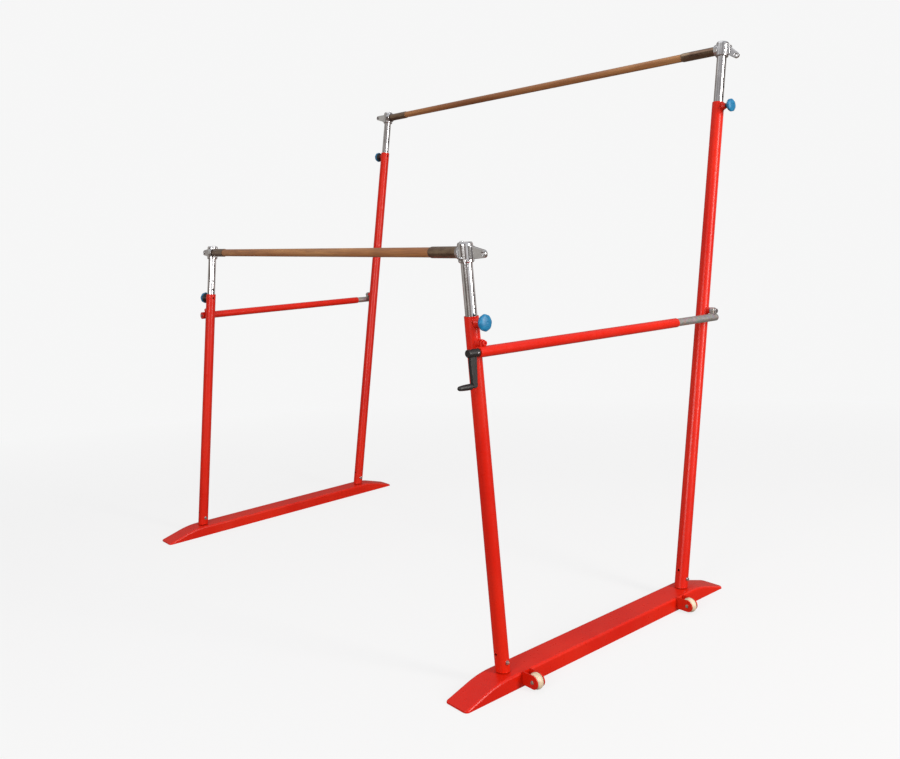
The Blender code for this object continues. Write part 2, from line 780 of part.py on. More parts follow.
# ---- transport wheels ---------------------------------------------------------------------
def transport_wheel(level):
    centre = Matrix.Translation((FRAME_X + WHEEL_X, WHEEL_Y[level], WHEEL_Z))
    half = WHEEL_WIDTH / 2
    bore_r = AXLE_R + RUNNING_GAP
    wheel = turned(
        [
            (bore_r, -half),
            (WHEEL_R - WHEEL_EDGE, -half),
            (WHEEL_R, -half + WHEEL_EDGE),
            (WHEEL_R, half - WHEEL_EDGE),
            (WHEEL_R - WHEEL_EDGE, half),
            (bore_r, half),
        ],
        ROUND,
        "Y",
    )
    place(wheel, f"{level}_end_wheel", centre, "cream_nylon")

    cheek_y = half + FORK_SIDE_GAP + FORK_SHEET / 2
    inner_x = BASE_WIDTH / 2 - WHEEL_X + RUNNING_GAP
    fork_y = 2 * cheek_y + FORK_SHEET
    fork = block((FORK_SHEET, fork_y, FORK_HEIGHT), (inner_x + FORK_SHEET / 2, 0, 0))
    cheek_size = (FORK_REACH - inner_x, FORK_SHEET, FORK_HEIGHT)
    cheek_x = (inner_x + FORK_REACH) / 2
    joined(fork, *[block(cheek_size, (cheek_x, y, 0)) for y in (-cheek_y, cheek_y)])
    cut(fork, rod(bore_r, -fork_y, fork_y, along="Y"))
    place(fork, f"{level}_end_wheel_fork", centre, "red_paint")

    reach = fork_y / 2 + RUNNING_GAP
    axle = hex_bolt(-reach, reach, AXLE_R, AXLE_HEAD)
    shift(axle, turn=Matrix.Rotation(-math.pi / 2, 4, "Z"))
    place(axle, f"{level}_end_wheel_axle", centre, "zinc_steel")


def build():
    clear_scene()
    for side in SIDES:
        base_rail(side)
        for level in LEVELS:
            foot_bolt(side, level)
            outer_post(side, level)
            spreader_bolt(side, level)
            inner_post(side, level)
            head(side, level)
            swivel_pin(side, level)
            sleeve(side, level)
            pull_pin(side, level)
        spreader_outer(side)
        spreader_inner(side)
        lead_screw(side)
    for level in LEVELS:
        bar(level)
        transport_wheel(level)
    crank()


build()
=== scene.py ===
"""Looks for the uneven parallel bars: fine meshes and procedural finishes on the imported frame.

Metres, +Z up.  Every place comes from the frame: post axes and pivots from the joints, lengths from
the CAD nodes.  Each piece is modelled in its own local frame, stores those coordinates in the
"grain" attribute for its material, and is then put into the row frame on its body.
"""
import json
import math

import bmesh
import bpy
from mathutils import Matrix, Vector


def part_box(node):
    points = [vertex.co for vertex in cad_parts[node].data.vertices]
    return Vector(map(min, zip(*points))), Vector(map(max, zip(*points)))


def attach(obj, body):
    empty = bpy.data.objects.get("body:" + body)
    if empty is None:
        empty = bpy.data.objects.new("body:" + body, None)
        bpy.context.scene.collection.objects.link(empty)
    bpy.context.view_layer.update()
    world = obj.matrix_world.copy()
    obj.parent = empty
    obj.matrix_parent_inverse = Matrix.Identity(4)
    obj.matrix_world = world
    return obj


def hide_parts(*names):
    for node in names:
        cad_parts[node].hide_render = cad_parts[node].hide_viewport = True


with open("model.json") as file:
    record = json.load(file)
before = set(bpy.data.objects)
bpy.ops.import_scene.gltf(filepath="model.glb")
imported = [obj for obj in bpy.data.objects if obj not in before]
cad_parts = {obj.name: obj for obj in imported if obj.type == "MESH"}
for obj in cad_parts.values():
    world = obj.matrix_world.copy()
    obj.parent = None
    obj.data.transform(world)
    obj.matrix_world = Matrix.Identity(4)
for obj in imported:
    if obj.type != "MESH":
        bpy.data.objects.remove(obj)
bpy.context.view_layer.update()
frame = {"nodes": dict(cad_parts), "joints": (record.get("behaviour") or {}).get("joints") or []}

# ---- sizes --------------------------------------------------------------------------------
SIDES = {"left": -1, "right": 1}
LEVELS = ("low", "high")
ROUND = 64                        # facets of a tube
SMALL_ROUND = 40                  # facets of a bolt or a knob
GAP = 0.0003                      # running gap
OVERSHOOT = 0.010                 # a cutter runs past its face by this much
RIM = 0.0008                      # softened edge of a tube end
EDGE = 0.0012                     # softened edge of a machined piece

POST_R = 0.0275
POST_BORE_R = 0.0235
POST_WELD_AT = 0.0245             # welded pieces start inside the tube's wall
LUG_R = 0.014
LUG_END = 0.0427                  # outer end of the spreader lug from the post axis
BOSS_R = (0.019, 0.012)
BEAD_R = 0.0022
DRAIN_R = 0.0045
DRAIN_AT = 0.030                  # above the foot bolt
BOLT_R = 0.006

INNER_R = 0.0225
INNER_BORE_R = 0.0195
HOLE_R = 0.005
HOLE_PITCH = 0.050
HOLES_BELOW_PIN = 4
HOLES_ABOVE_PIN = 2

DRUM_R = 0.030
DRUM_HALF = 0.038
DRUM_DOME = (0.006, 0.012)        # width and height of the rounding under its top
DRUM_CHAMFER = 0.004
SOCKET_R = 0.0255
SOCKET_FLOOR = 0.006
COLLAR_MOUTH = (0.034, 0.0280)    # distance from the drum's axis, radius
COLLAR_ROOT = (0.012, 0.0345)
EYELET_AT = {                     # reach from the post axis, height above the drum's middle
    ("left", "low"): (0.118, 0.002),
    ("right", "low"): (0.105, -0.006),
    ("left", "high"): (0.100, 0.012),
    ("right", "high"): (0.074, -0.040),
}
TONGUE_TIP_R = 0.015
TONGUE_ROOT_HALF = 0.027
TONGUE_THICKNESS = 0.012
EYELET_R = 0.008
CLIP_FACING = -35                 # degrees from the tongue
SWIVEL_R = 0.005
PIN_INSET = 0.019
CAP_SCREW_R = 0.0070

BAR_R = 0.020
SLEEVE_R = 0.0228
SLEEVE_LIP = 0.007

PIN_R = 0.0045
BARREL_R = 0.0095
KNOB_R = 0.032

SPREADER_R = 0.020
SPREADER_BORE_R = 0.0175
SLIDE_R = 0.0170
SLIDE_BORE_R = 0.0140
TAB_X = {"low": (-0.0105, -0.0025), "high": (-0.0105, 0.0105)}   # from the spreader axis
TAB_HALF = {"low": 0.013, "high": 0.0145}
SCREW_R = 0.007
THREAD_PITCH = 0.010
THREAD_DEPTH = 0.0012

CAMERA_AT = (3.690, -3.153, 1.698)
CAMERA_YAW = 0.6388
CAMERA_PITCH = 0.0411
CAMERA_ROLL = -0.0565
CAMERA_LENS = 36.49
CAMERA_SHIFT = (0.1016, -0.2085)

BACKGROUND = 0.925                # linear, a very pale grey
HOLE_SHADE = (0.006, 0.004, 0.004)      # painted shade, near black, inside holes and bores


# ---- frames of reference, all read from the imported frame ----------------------------------
JOINTS = {joint["name"]: joint for joint in frame["joints"]}


def measured(node, matrix):
    """Lowest and highest corners of a CAD node in a local frame."""
    inverse = matrix.inverted()
    points = [inverse @ vertex.co for vertex in frame["nodes"][node].data.vertices]
    low = Vector([min(point[axis] for point in points) for axis in range(3)])
    high = Vector([max(point[axis] for point in points) for axis in range(3)])
    return low, high


def axes(x, y, z, origin):
    turn = Matrix((x, y, z)).transposed().to_4x4()
    return Matrix.Translation(origin) @ turn


def post_frame(side, level):
    """Origin on the foot bolt, +Z up the post, +X outward."""
    joint = f"{level}_bar_height" if side == "left" else f"{level}_right_head_height"
    up = Vector(JOINTS[joint]["axis"]).normalized()
    outward = Vector((SIDES[side], 0, 0))
    low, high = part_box(f"{side}_{level}_foot_bolt")
    return axes(outward, up.cross(outward), up, (low + high) / 2)


def head_centre(side, level):
    post = post_frame(side, level)
    top = measured(f"{side}_{level}_head", post)[1].z
    return post @ Vector((0, 0, top - DRUM_HALF))


def bar_frame(level):
    """Origin midway between the heads, +X along the bar."""
    left = head_centre("left", level)
    right = head_centre("right", level)
    along = (right - left).normalized()
    across = Vector((0, 0, 1)).cross(along).normalized()
    return axes(along, across, along.cross(across), (left + right) / 2)


def head_frame(side, level):
    """Origin in the drum, +Z up the post, +X away from the bar."""
    up = post_frame(side, level).to_3x3().col[2]
    bar = bar_frame(level).to_3x3().col[0] * SIDES[side]
    across = up.cross(bar).normalized()
    return axes(across.cross(up), across, up, head_centre(side, level))


def spreader_frame(side):
    """Origin on the low spreader bolt, +Y towards the high one, +X along world X."""
    run = Vector(JOINTS[f"{side}_spreader_extend"]["axis"]).normalized()
    x = Vector((1, 0, 0))
    return axes(x, run, x.cross(run), Vector(JOINTS[f"{side}_spreader_swing"]["pos_m"]))


# ---- mesh helpers -------------------------------------------------------------------------
def to_object(bm):
    bmesh.ops.recalc_face_normals(bm, faces=bm.faces)
    mesh = bpy.data.meshes.new("shape")
    bm.to_mesh(mesh)
    bm.free()
    shape = bpy.data.objects.new("shape", mesh)
    bpy.context.scene.collection.objects.link(shape)
    return shape


def soften(profile, radius, closed=False, steps=4):
    """Rounds the corners of a profile with short arcs."""
    points = [Vector(point) for point in profile]
    count = len(points)
    softened = []
    for index, corner in enumerate(points):
        if not closed and index in (0, count - 1):
            softened.append(corner)
            continue
        before = points[index - 1] - corner
        after = points[(index + 1) % count] - corner
        reach = min(radius, before.length * 0.45, after.length * 0.45)
        start = corner + before.normalized() * reach
        end = corner + after.normalized() * reach
        for step in range(steps + 1):
            t = step / steps
            softened.append(start * (1 - t) ** 2 + corner * 2 * t * (1 - t) + end * t * t)
    return [tuple(point) for point in softened]


def turned(profile, along="Z", facets=ROUND):
    """A body of revolution: (radius, height) points turned about an axis."""
    bm = bmesh.new()
    points = [bm.verts.new((radius, 0.0, height)) for radius, height in profile]
    edges = [bm.edges.new(pair) for pair in zip(points, points[1:])]
    if profile[0][0] > 0:
        edges.append(bm.edges.new((points[-1], points[0])))
    bmesh.ops.spin(
        bm,
        geom=points + edges,
        axis=(0, 0, 1),
        cent=(0, 0, 0),
        steps=facets,
        angle=2 * math.pi,
        use_merge=True,
    )
    bmesh.ops.remove_doubles(bm, verts=bm.verts, dist=1e-6)
    if along == "X":
        bmesh.ops.transform(bm, matrix=Matrix.Rotation(math.pi / 2, 4, "Y"), verts=bm.verts)
    if along == "Y":
        bmesh.ops.transform(bm, matrix=Matrix.Rotation(-math.pi / 2, 4, "X"), verts=bm.verts)
    return to_object(bm)


def rod(radius, start, end, along="Z", soft=0.0, facets=SMALL_ROUND):
    profile = [(0, start), (radius, start), (radius, end), (0, end)]
    if soft:
        profile = soften(profile, soft)
    return turned(profile, along, facets)


def tube(radius, bore, start, end, along="Z", soft=RIM, facets=ROUND):
    profile = [(bore, start), (radius, start), (radius, end), (bore, end)]
    return turned(soften(profile, soft, closed=True), along, facets)


def slab(outline, thickness, turn=None):
    """An outline in the XZ plane with its thickness along Y, turned by a matrix."""
    bm = bmesh.new()
    face = bm.faces.new([bm.verts.new((x, -thickness / 2, z)) for x, z in outline])
    grown = bmesh.ops.extrude_face_region(bm, geom=[face])
    moved = [item for item in grown["geom"] if isinstance(item, bmesh.types.BMVert)]
    bmesh.ops.translate(bm, vec=(0, thickness, 0), verts=moved)
    if turn:
        bmesh.ops.transform(bm, matrix=turn, verts=bm.verts)
    return to_object(bm)


def block(size, centre=(0, 0, 0)):
    bm = bmesh.new()
    matrix = Matrix.Translation(centre) @ Matrix.Diagonal((*size, 1.0))
    bmesh.ops.create_cube(bm, size=1.0, matrix=matrix)
    return to_object(bm)


def shift(shape, x=0.0, y=0.0, z=0.0, turn=None):
    matrix = Matrix.Translation((x, y, z))
    shape.data.transform(matrix @ turn if turn else matrix)
    return shape


def apply_modifiers(shape):
    graph = bpy.context.evaluated_depsgraph_get()
    result = bpy.data.meshes.new_from_object(shape.evaluated_get(graph))
    shape.modifiers.clear()
    shape.data = result


def combine(shape, tools, operation):
    for tool in tools:
        modifier = shape.modifiers.new(operation, "BOOLEAN")
        modifier.operation = operation
        modifier.solver = "EXACT"
        modifier.object = tool
        apply_modifiers(shape)
        bpy.data.objects.remove(tool, do_unlink=True)
    return shape


def cut(shape, *tools):
    return combine(shape, tools, "DIFFERENCE")


def joined(shape, *tools):
    return combine(shape, tools, "UNION")


def bevelled(shape, width=EDGE, segments=3, angle=40):
    """Softens the sharp edges of a machined or pressed piece."""
    modifier = shape.modifiers.new("soft", "BEVEL")
    modifier.width = width
    modifier.segments = segments
    modifier.limit_method = "ANGLE"
    modifier.angle_limit = math.radians(angle)
    modifier.use_clamp_overlap = True
    modifier.harden_normals = False
    apply_modifiers(shape)
    return shape


def bead(path, radius, ripples=0, sides=10):
    """A closed weld bead or wire ring along a loop of points, with ripples along its run."""
    count = len(path)
    bm = bmesh.new()
    rings = []
    for index, point in enumerate(path):
        run = (path[(index + 1) % count] - path[index - 1]).normalized()
        side = run.orthogonal().normalized() if index == 0 else (side - run * side.dot(run)).normalized()
        other = run.cross(side)
        size = radius * (1 + 0.12 * math.sin(2 * math.pi * ripples * index / count))
        ring = []
        for step in range(sides):
            angle = 2 * math.pi * step / sides
            ring.append(bm.verts.new(point + (side * math.cos(angle) + other * math.sin(angle)) * size))
        rings.append(ring)
    # the frame turns a little on its way round, so the last ring meets the first by its nearest corner
    turn = min(range(sides), key=lambda step: (rings[0][step].co - rings[-1][0].co).length)
    for index in range(count):
        after = rings[(index + 1) % count]
        offset = turn if index == count - 1 else 0
        for step in range(sides):
            following = (step + 1) % sides
            bm.faces.new(
                (
                    rings[index][step],
                    rings[index][following],
                    after[(following + offset) % sides],
                    after[(step + offset) % sides],
                )
            )
    return to_object(bm)


def saddle(post_r, boss_r, steps=96):
    """Where a boss along +X meets a post along Z."""
    path = []
    for step in range(steps):
        angle = 2 * math.pi * step / steps
        y = boss_r * math.cos(angle)
        path.append(Vector((math.sqrt(post_r**2 - y**2), y, boss_r * math.sin(angle))))
    return path


def hexagon(radius, start, end, along="X"):
    """A hexagon head with its top corners turned off."""
    head = rod(radius, start, end, along, facets=6)
    chamfer = radius * 0.16
    envelope = turned(
        [(0, start), (radius * 1.02, start), (radius * 1.02, end - chamfer), (radius * 0.84, end), (0, end)],
        along,
        SMALL_ROUND,
    )
    combine(head, [envelope], "INTERSECT")
    return head


PIECES = []
AXES = {"X": Vector((1, 0, 0)), "Y": Vector((0, 1, 0)), "Z": Vector((0, 0, 1))}


def piece(shape, name, matrix, finish, body, nodes=(), round_about=None):
    """Names the shape, keeps its local coordinates for the material and puts it on its body."""
    mesh = shape.data
    mesh.shade_smooth()
    mesh.set_sharp_from_angle(angle=math.radians(32))
    if round_about:
        round_normals(mesh, round_about)
    else:
        weighted = shape.modifiers.new("shading", "WEIGHTED_NORMAL")
        weighted.keep_sharp = True
    if round_about:
        # hole walls are marked for the painted shade in the finishes
        mark_shaded_holes(mesh, round_about)
    offset = Vector((0.37, 0.73, 0.11)) * len(PIECES)
    grain = mesh.attributes.new("grain", "FLOAT_VECTOR", "POINT")
    grain.data.foreach_set("vector", [value for vertex in mesh.vertices for value in vertex.co + offset])
    mesh.transform(matrix)
    mesh.materials.clear()
    mesh.materials.append(FINISHES[finish])
    shape.name = name
    mesh.name = name
    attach(shape, body)
    if nodes:
        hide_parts(*nodes)
    PIECES.append(name)
    return shape


def side_on(face, axis):
    """How squarely a face looks away from an axis: 1 outside, -1 in the bore, 0 in a cross hole."""
    away = face.center - axis * face.center.dot(axis)
    return face.normal.dot(away.normalized())


def mark_shaded_holes(mesh, along):
    """Marks the walls of bores and cross holes, where the finishes paint shade near black."""
    axis = AXES[along]
    hole_shade = mesh.attributes.new("hole_shade", "FLOAT", "FACE")
    for face in mesh.polygons:
        inward = abs(face.normal.dot(axis)) < 0.9 and side_on(face, axis) < 0.6
        hole_shade.data[face.index].value = 1.0 if inward else 0.0


def round_normals(mesh, along):
    """True cylinder normals on a turned tube, so that drilled holes leave its shading alone."""
    axis = AXES[along]
    normals = [Vector(corner.vector) for corner in mesh.corner_normals]
    for face in mesh.polygons:
        outward = side_on(face, axis)
        if abs(face.normal.dot(axis)) > 0.02 or abs(outward) < 0.98:
            continue
        sign = 1 if outward > 0 else -1
        for loop in face.loop_indices:
            spot = mesh.vertices[mesh.loops[loop].vertex_index].co
            normals[loop] = (spot - axis * spot.dot(axis)).normalized() * sign
    mesh.normals_split_custom_set(normals)


# ---- materials ----------------------------------------------------------------------------
class Finish:
    """A material's node tree, with short names for the nodes that these finishes share."""

    def __init__(self, name):
        self.material = bpy.data.materials.new(name)
        self.material.use_nodes = True
        self.tree = self.material.node_tree
        self.shader = self.tree.nodes["Principled BSDF"]
        self.where = self.add("ShaderNodeAttribute", attribute_name="grain").outputs["Vector"]
        self.height = None

    def add(self, kind, **settings):
        node = self.tree.nodes.new(kind)
        for key, value in settings.items():
            setattr(node, key, value)
        return node

    def link(self, source, target):
        if hasattr(source, "is_output"):
            self.tree.links.new(source, target)
        else:
            target.default_value = source

    def stretched(self, scale):
        node = self.add("ShaderNodeVectorMath", operation="MULTIPLY")
        self.link(self.where, node.inputs[0])
        node.inputs[1].default_value = scale
        return node.outputs[0]

    def noise(self, scale, detail=3.0, rough=0.55, stretch=(1, 1, 1), distortion=0.0):
        node = self.add("ShaderNodeTexNoise")
        self.link(self.stretched(stretch), node.inputs["Vector"])
        node.inputs["Scale"].default_value = scale
        node.inputs["Detail"].default_value = detail
        node.inputs["Roughness"].default_value = rough
        node.inputs["Distortion"].default_value = distortion
        return node.outputs["Fac"]

    def cells(self, scale, stretch=(1, 1, 1)):
        node = self.add("ShaderNodeTexVoronoi")
        self.link(self.stretched(stretch), node.inputs["Vector"])
        node.inputs["Scale"].default_value = scale
        return node.outputs["Color"]

    def ramp(self, value, *stops):
        node = self.add("ShaderNodeValToRGB")
        self.link(value, node.inputs["Fac"])
        marks = node.color_ramp.elements
        while len(marks) < len(stops):
            marks.new(0.5)
        for mark, (position, colour) in zip(marks, stops):
            mark.position = position
            mark.color = (*colour, 1.0)
        return node.outputs["Color"]

    def levels(self, value, low, high, out_low, out_high):
        node = self.add("ShaderNodeMapRange")
        for index, given in enumerate((value, low, high, out_low, out_high)):
            self.link(given, node.inputs[index])
        return node.outputs["Result"]

    def mix(self, share, first, second, blend="MIX"):
        node = self.add("ShaderNodeMix", data_type="RGBA", blend_type=blend)
        sockets = (node.inputs[0], node.inputs[6], node.inputs[7])
        for socket, given in zip(sockets, (share, first, second)):
            given = (*given, 1.0) if isinstance(given, tuple) and len(given) == 3 else given
            self.link(given, socket)
        return node.outputs[2]

    def bump(self, value, strength, distance):
        node = self.add("ShaderNodeBump")
        node.inputs["Strength"].default_value = strength
        node.inputs["Distance"].default_value = distance
        self.link(value, node.inputs["Height"])
        if self.height:
            self.link(self.height, node.inputs["Normal"])
        self.height = node.outputs["Normal"]

    def with_hole_shade(self, colour):
        # painted shade: the marked walls of holes and bores are mixed to near black
        inside = self.add("ShaderNodeAttribute", attribute_name="hole_shade").outputs["Fac"]
        return self.mix(inside, colour, HOLE_SHADE)

    def finish(self, colour, rough, metallic=0.0, **extra):
        self.link((*colour, 1.0) if isinstance(colour, tuple) else colour, self.shader.inputs["Base Color"])
        self.link(rough, self.shader.inputs["Roughness"])
        self.shader.inputs["Metallic"].default_value = metallic
        for key, value in extra.items():
            self.shader.inputs[key.replace("_", " ")].default_value = value
        if self.height:
            self.link(self.height, self.shader.inputs["Normal"])
        return self.material


def red_paint():
    """Glossy enamel with faint orange peel, a drifting tone and paler rubbed patches."""
    look = Finish("red_paint")
    drift = look.noise(2.2, 3)
    colour = look.ramp(drift, (0.30, (0.60, 0.009, 0.002)), (0.70, (0.72, 0.018, 0.004)))
    rubbed = look.levels(look.noise(9, 3, 0.5, (1, 1, 0.5)), 0.48, 0.80, 0.0, 0.16)
    colour = look.mix(rubbed, colour, (0.55, 0.060, 0.035))
    # painted shade in holes and bores
    colour = look.with_hole_shade(colour)
    rough = look.levels(look.noise(55, 4), 0.3, 0.8, 0.26, 0.42)
    look.bump(look.noise(28, 2), 0.06, 0.0012)
    return look.finish(colour, rough, Specular_IOR_Level=0.26, Coat_Weight=0.06, Coat_Roughness=0.15)


def chrome():
    """Bright plating with hairlines, smears and a slight haze."""
    look = Finish("chrome")
    haze = look.noise(16, 4, 0.6)
    colour = look.ramp(haze, (0.35, (0.56, 0.560, 0.570)), (0.65, (0.74, 0.745, 0.760)))
    # painted shade in holes and bores
    colour = look.with_hole_shade(colour)
    rough = look.levels(look.noise(60, 3, 0.5, (1, 1, 0.15)), 0.30, 0.75, 0.13, 0.21)
    look.bump(look.noise(300, 2, 0.5, (1, 1, 0.04)), 0.02, 0.0002)
    return look.finish(colour, rough, 1.0)


def bronze():
    """Dark brown plated sleeve, lightly scuffed along its length."""
    look = Finish("bronze")
    drift = look.noise(26, 4, 0.6, (0.5, 1, 1))
    colour = look.ramp(drift, (0.30, (0.15, 0.085, 0.065)), (0.70, (0.36, 0.265, 0.175)))
    scuffs = look.levels(look.noise(140, 4, 0.7, (0.12, 1, 1)), 0.62, 0.74, 0.0, 0.5)
    colour = look.mix(scuffs, colour, (0.38, 0.31, 0.22))
    rough = look.levels(look.noise(90, 4), 0.3, 0.7, 0.20, 0.36)
    look.bump(look.noise(500, 2, 0.5, (0.06, 1, 1)), 0.12, 0.0004)
    return look.finish(colour, rough, 1.0)


def wood():
    """Round ash rail, grain along the bar, satin varnish."""
    look = Finish("wood")
    broad = look.noise(7, 3, 0.55, (0.18, 1, 1), 0.6)
    fine = look.noise(85, 5, 0.65, (0.035, 1, 1), 0.8)
    pores = look.noise(420, 3, 0.6, (0.02, 1, 1))
    colour = look.ramp(
        broad,
        (0.30, (0.26, 0.090, 0.026)),
        (0.48, (0.42, 0.175, 0.056)),
        (0.70, (0.54, 0.265, 0.096)),
    )
    streaks = look.levels(fine, 0.38, 0.62, 0.42, 0.0)
    colour = look.mix(streaks, colour, (0.165, 0.050, 0.022))
    dark_pores = look.levels(pores, 0.58, 0.70, 0.0, 0.6)
    colour = look.mix(dark_pores, colour, (0.075, 0.026, 0.014))
    rough = look.levels(fine, 0.3, 0.7, 0.36, 0.52)
    look.bump(pores, 0.25, 0.0005)
    look.bump(fine, 0.20, 0.0008)
    return look.finish(colour, rough, Coat_Weight=0.12, Coat_Roughness=0.28)


def moulded(name, dark, light, rough, speckle=0.0):
    """Moulded plastic: slight mottling, fine texture and pale handling marks."""
    look = Finish(name)
    colour = look.ramp(look.noise(60, 4), (0.30, dark), (0.72, light))
    marks = look.levels(look.noise(230, 5, 0.7), 0.66, 0.78, 0.0, speckle)
    colour = look.mix(marks, colour, tuple(0.5 + value / 2 for value in light))
    rough_map = look.levels(look.noise(150, 3), 0.3, 0.7, rough - 0.08, rough + 0.08)
    look.bump(look.noise(1300, 2), 0.18, 0.0003)
    return look.finish(colour, rough_map)


def zinc_steel():
    """Dull bare steel with crystals of zinc and draw lines along the tube."""
    look = Finish("zinc_steel")
    crystals = look.cells(90)
    colour = look.mix(0.16, (0.44, 0.43, 0.41), crystals, "OVERLAY")
    drift = look.levels(look.noise(24, 4), 0.3, 0.7, 0.0, 0.35)
    colour = look.mix(drift, colour, (0.30, 0.285, 0.27))
    rough = look.levels(look.noise(110, 4), 0.3, 0.7, 0.40, 0.58)
    look.bump(look.noise(600, 2, 0.5, (1, 0.05, 1)), 0.15, 0.0004)
    return look.finish(colour, rough, 0.85)


def brass():
    look = Finish("brass")
    colour = look.ramp(look.noise(40, 3), (0.3, (0.55, 0.35, 0.12)), (0.7, (0.72, 0.50, 0.20)))
    rough = look.levels(look.noise(120, 3), 0.3, 0.7, 0.25, 0.45)
    look.bump(look.noise(500, 2), 0.1, 0.0003)
    return look.finish(colour, rough, 1.0)


FINISHES = {
    "red_paint": red_paint(),
    "chrome": chrome(),
    "bronze": bronze(),
    "wood": wood(),
    "blue_plastic": moulded("blue_plastic", (0.003, 0.130, 0.29), (0.008, 0.225, 0.43), 0.42, 0.05),
    "black_plastic": moulded("black_plastic", (0.005, 0.005, 0.005), (0.014, 0.013, 0.013), 0.44, 0.02),
    "cream_nylon": moulded("cream_nylon", (0.62, 0.47, 0.30), (0.80, 0.68, 0.50), 0.42, 0.10),
    "zinc_steel": zinc_steel(),
    "brass": brass(),
}


# ---- base rails ---------------------------------------------------------------------------
RAIL_BEND = 0.009
RAIL_SHEET = 0.003
RAIL_RAMP = 0.165
RAIL_TIP = 0.006
RAIL_FOLD_ROUND = 0.055           # the fold between top and ramp is rolled over this length
RAIL_CORNER = 0.016               # rounded corners of the ramp's tip
RAIL_LIP = 0.025
RAIL_TOP = 0.051
LUG_SIZE = (0.020, 0.018)         # along X and along Y
LUG_ABOVE_BOLT = 0.013


def rail_height(y, half, height):
    """Height of the rail's top, y from its middle: flat, rolled fold, straight ramp."""
    start = half - RAIL_RAMP
    slope = (height - RAIL_TIP) / RAIL_RAMP
    past = abs(y) - start
    if past <= -RAIL_FOLD_ROUND:
        return height
    if past < RAIL_FOLD_ROUND:
        return height - slope * (past + RAIL_FOLD_ROUND) ** 2 / (4 * RAIL_FOLD_ROUND)
    return height - slope * past


def rail_half_width(y, half, half_width):
    """Half the rail's width, rounded in plan at its tips."""
    into_corner = max(0.0, abs(y) - (half - RAIL_CORNER))
    return half_width - RAIL_CORNER + math.sqrt(max(0.0, RAIL_CORNER**2 - into_corner**2))


def rail_stations(half):
    fold = half - RAIL_RAMP
    stations = [0.0, fold * 0.5]
    stations += [fold - RAIL_FOLD_ROUND + RAIL_FOLD_ROUND * step / 8 for step in range(17)]
    stations += [half - RAIL_CORNER * math.cos(math.pi / 2 * step / 10) for step in range(10)]
    stations.append(half - RAIL_CORNER * 0.004)
    return [-y for y in reversed(stations[1:])] + stations


def rail_section(y, half, half_width, height, inset=0.0):
    """The cross-section, from the left bottom corner over the top to the right one."""
    wide = rail_half_width(y, half, half_width) - inset
    tall = rail_height(y, half, height) - inset
    bend = min(RAIL_BEND - inset, (tall - inset) * 0.9)
    points = [(-wide, inset)]
    steps = 6
    for step in range(steps + 1):
        angle = math.pi - math.pi / 2 * step / steps
        points.append((-wide + bend + bend * math.cos(angle), tall - bend + bend * math.sin(angle)))
    points += [(-x, z) for x, z in reversed(points)]
    return points


def lofted(sections):
    """A closed body through sections of equal count, each a list of points."""
    bm = bmesh.new()
    rings = [[bm.verts.new(point) for point in section] for section in sections]
    for ring, after in zip(rings, rings[1:]):
        for index in range(len(ring)):
            following = (index + 1) % len(ring)
            bm.faces.new((ring[index], ring[following], after[following], after[index]))
    bm.faces.new(rings[0])
    bm.faces.new(rings[-1])
    return to_object(bm)


def base_rail(side):
    low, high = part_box(f"{side}_base_rail")
    half = (high.y - low.y) / 2
    half_width = (high.x - low.x) / 2
    top = RAIL_TOP
    middle = Matrix.Translation(((low.x + high.x) / 2, (low.y + high.y) / 2, 0))
    stations = rail_stations(half)
    outer = [[(x, y, z) for x, z in rail_section(y, half, half_width, top)] for y in stations]
    inside = [y for y in stations if rail_height(y, half, top) > 0.020]
    inner = [
        [(x, y, z) for x, z in rail_section(y, half, half_width, top, RAIL_SHEET)] for y in inside
    ]
    mouth = block((2 * (half_width - RAIL_LIP), 2 * (half - RAIL_RAMP), 4 * RAIL_SHEET))
    shell = cut(lofted(outer), lofted(inner), mouth)
    piece(shell, f"{side}_rail_shell", middle, "red_paint", "bases", [f"{side}_base_rail"])
    for level in LEVELS:
        foot_lug(side, level, top)


def foot_lug(side, level, top):
    """Upright block inside the post's foot, welded to the rail and rounded over its bolt."""
    width, depth = LUG_SIZE
    low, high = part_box(f"{side}_{level}_foot_bolt")
    bolt = (low + high) / 2
    bottom = top - bolt.z + GAP
    outline = [(-depth / 2, bottom), (depth / 2, bottom)]
    steps = 12
    for step in range(steps + 1):
        angle = math.pi * step / steps
        outline.append((depth / 2 * math.cos(angle), depth / 2 * math.sin(angle)))
    lug = slab(outline, width, Matrix.Rotation(math.pi / 2, 4, "Z"))
    cut(lug, rod(BOLT_R + GAP, -width, width, "X"))
    matrix = Matrix.Translation(bolt)
    piece(bevelled(lug, 0.0008), f"{side}_{level}_foot_lug", matrix, "red_paint", "bases")
    bolt_piece(
        f"{side}_{level}_foot_bolt",
        matrix,
        "bases",
        (-POST_R - GAP, POST_R + GAP),
        BOLT_R,
        0.0068,
        0.0040,
    )


def bolt_piece(name, matrix, body, span, radius, head_r, head, nut=False, finish="chrome"):
    """A bolt along X with washers: hexagon head at its far end, nut and thread end at the other."""
    start, end = span
    washer = 0.0014
    shank_start = start - head - 0.004 if nut else start
    shank = rod(radius, shank_start, end + washer, "X", soft=0.0008)
    parts = [hexagon(head_r, end + washer, end + washer + head)]
    washer_r = head_r * 1.22
    rings = [tube(washer_r, radius * 0.9, end, end + washer, "X", 0.0003, SMALL_ROUND)]
    if nut:
        mirrored = Matrix.Rotation(math.pi, 4, "Z")
        nut_body = hexagon(head_r, -start + washer, -start + washer + head * 0.85)
        parts.append(shift(nut_body, turn=mirrored))
        rings.append(tube(washer_r, radius * 0.9, start - washer, start, "X", 0.0003, SMALL_ROUND))
    joined(shank, *parts)
    joined(shank, *rings)
    piece(shank, name + "_fine", matrix, finish, body, [name])


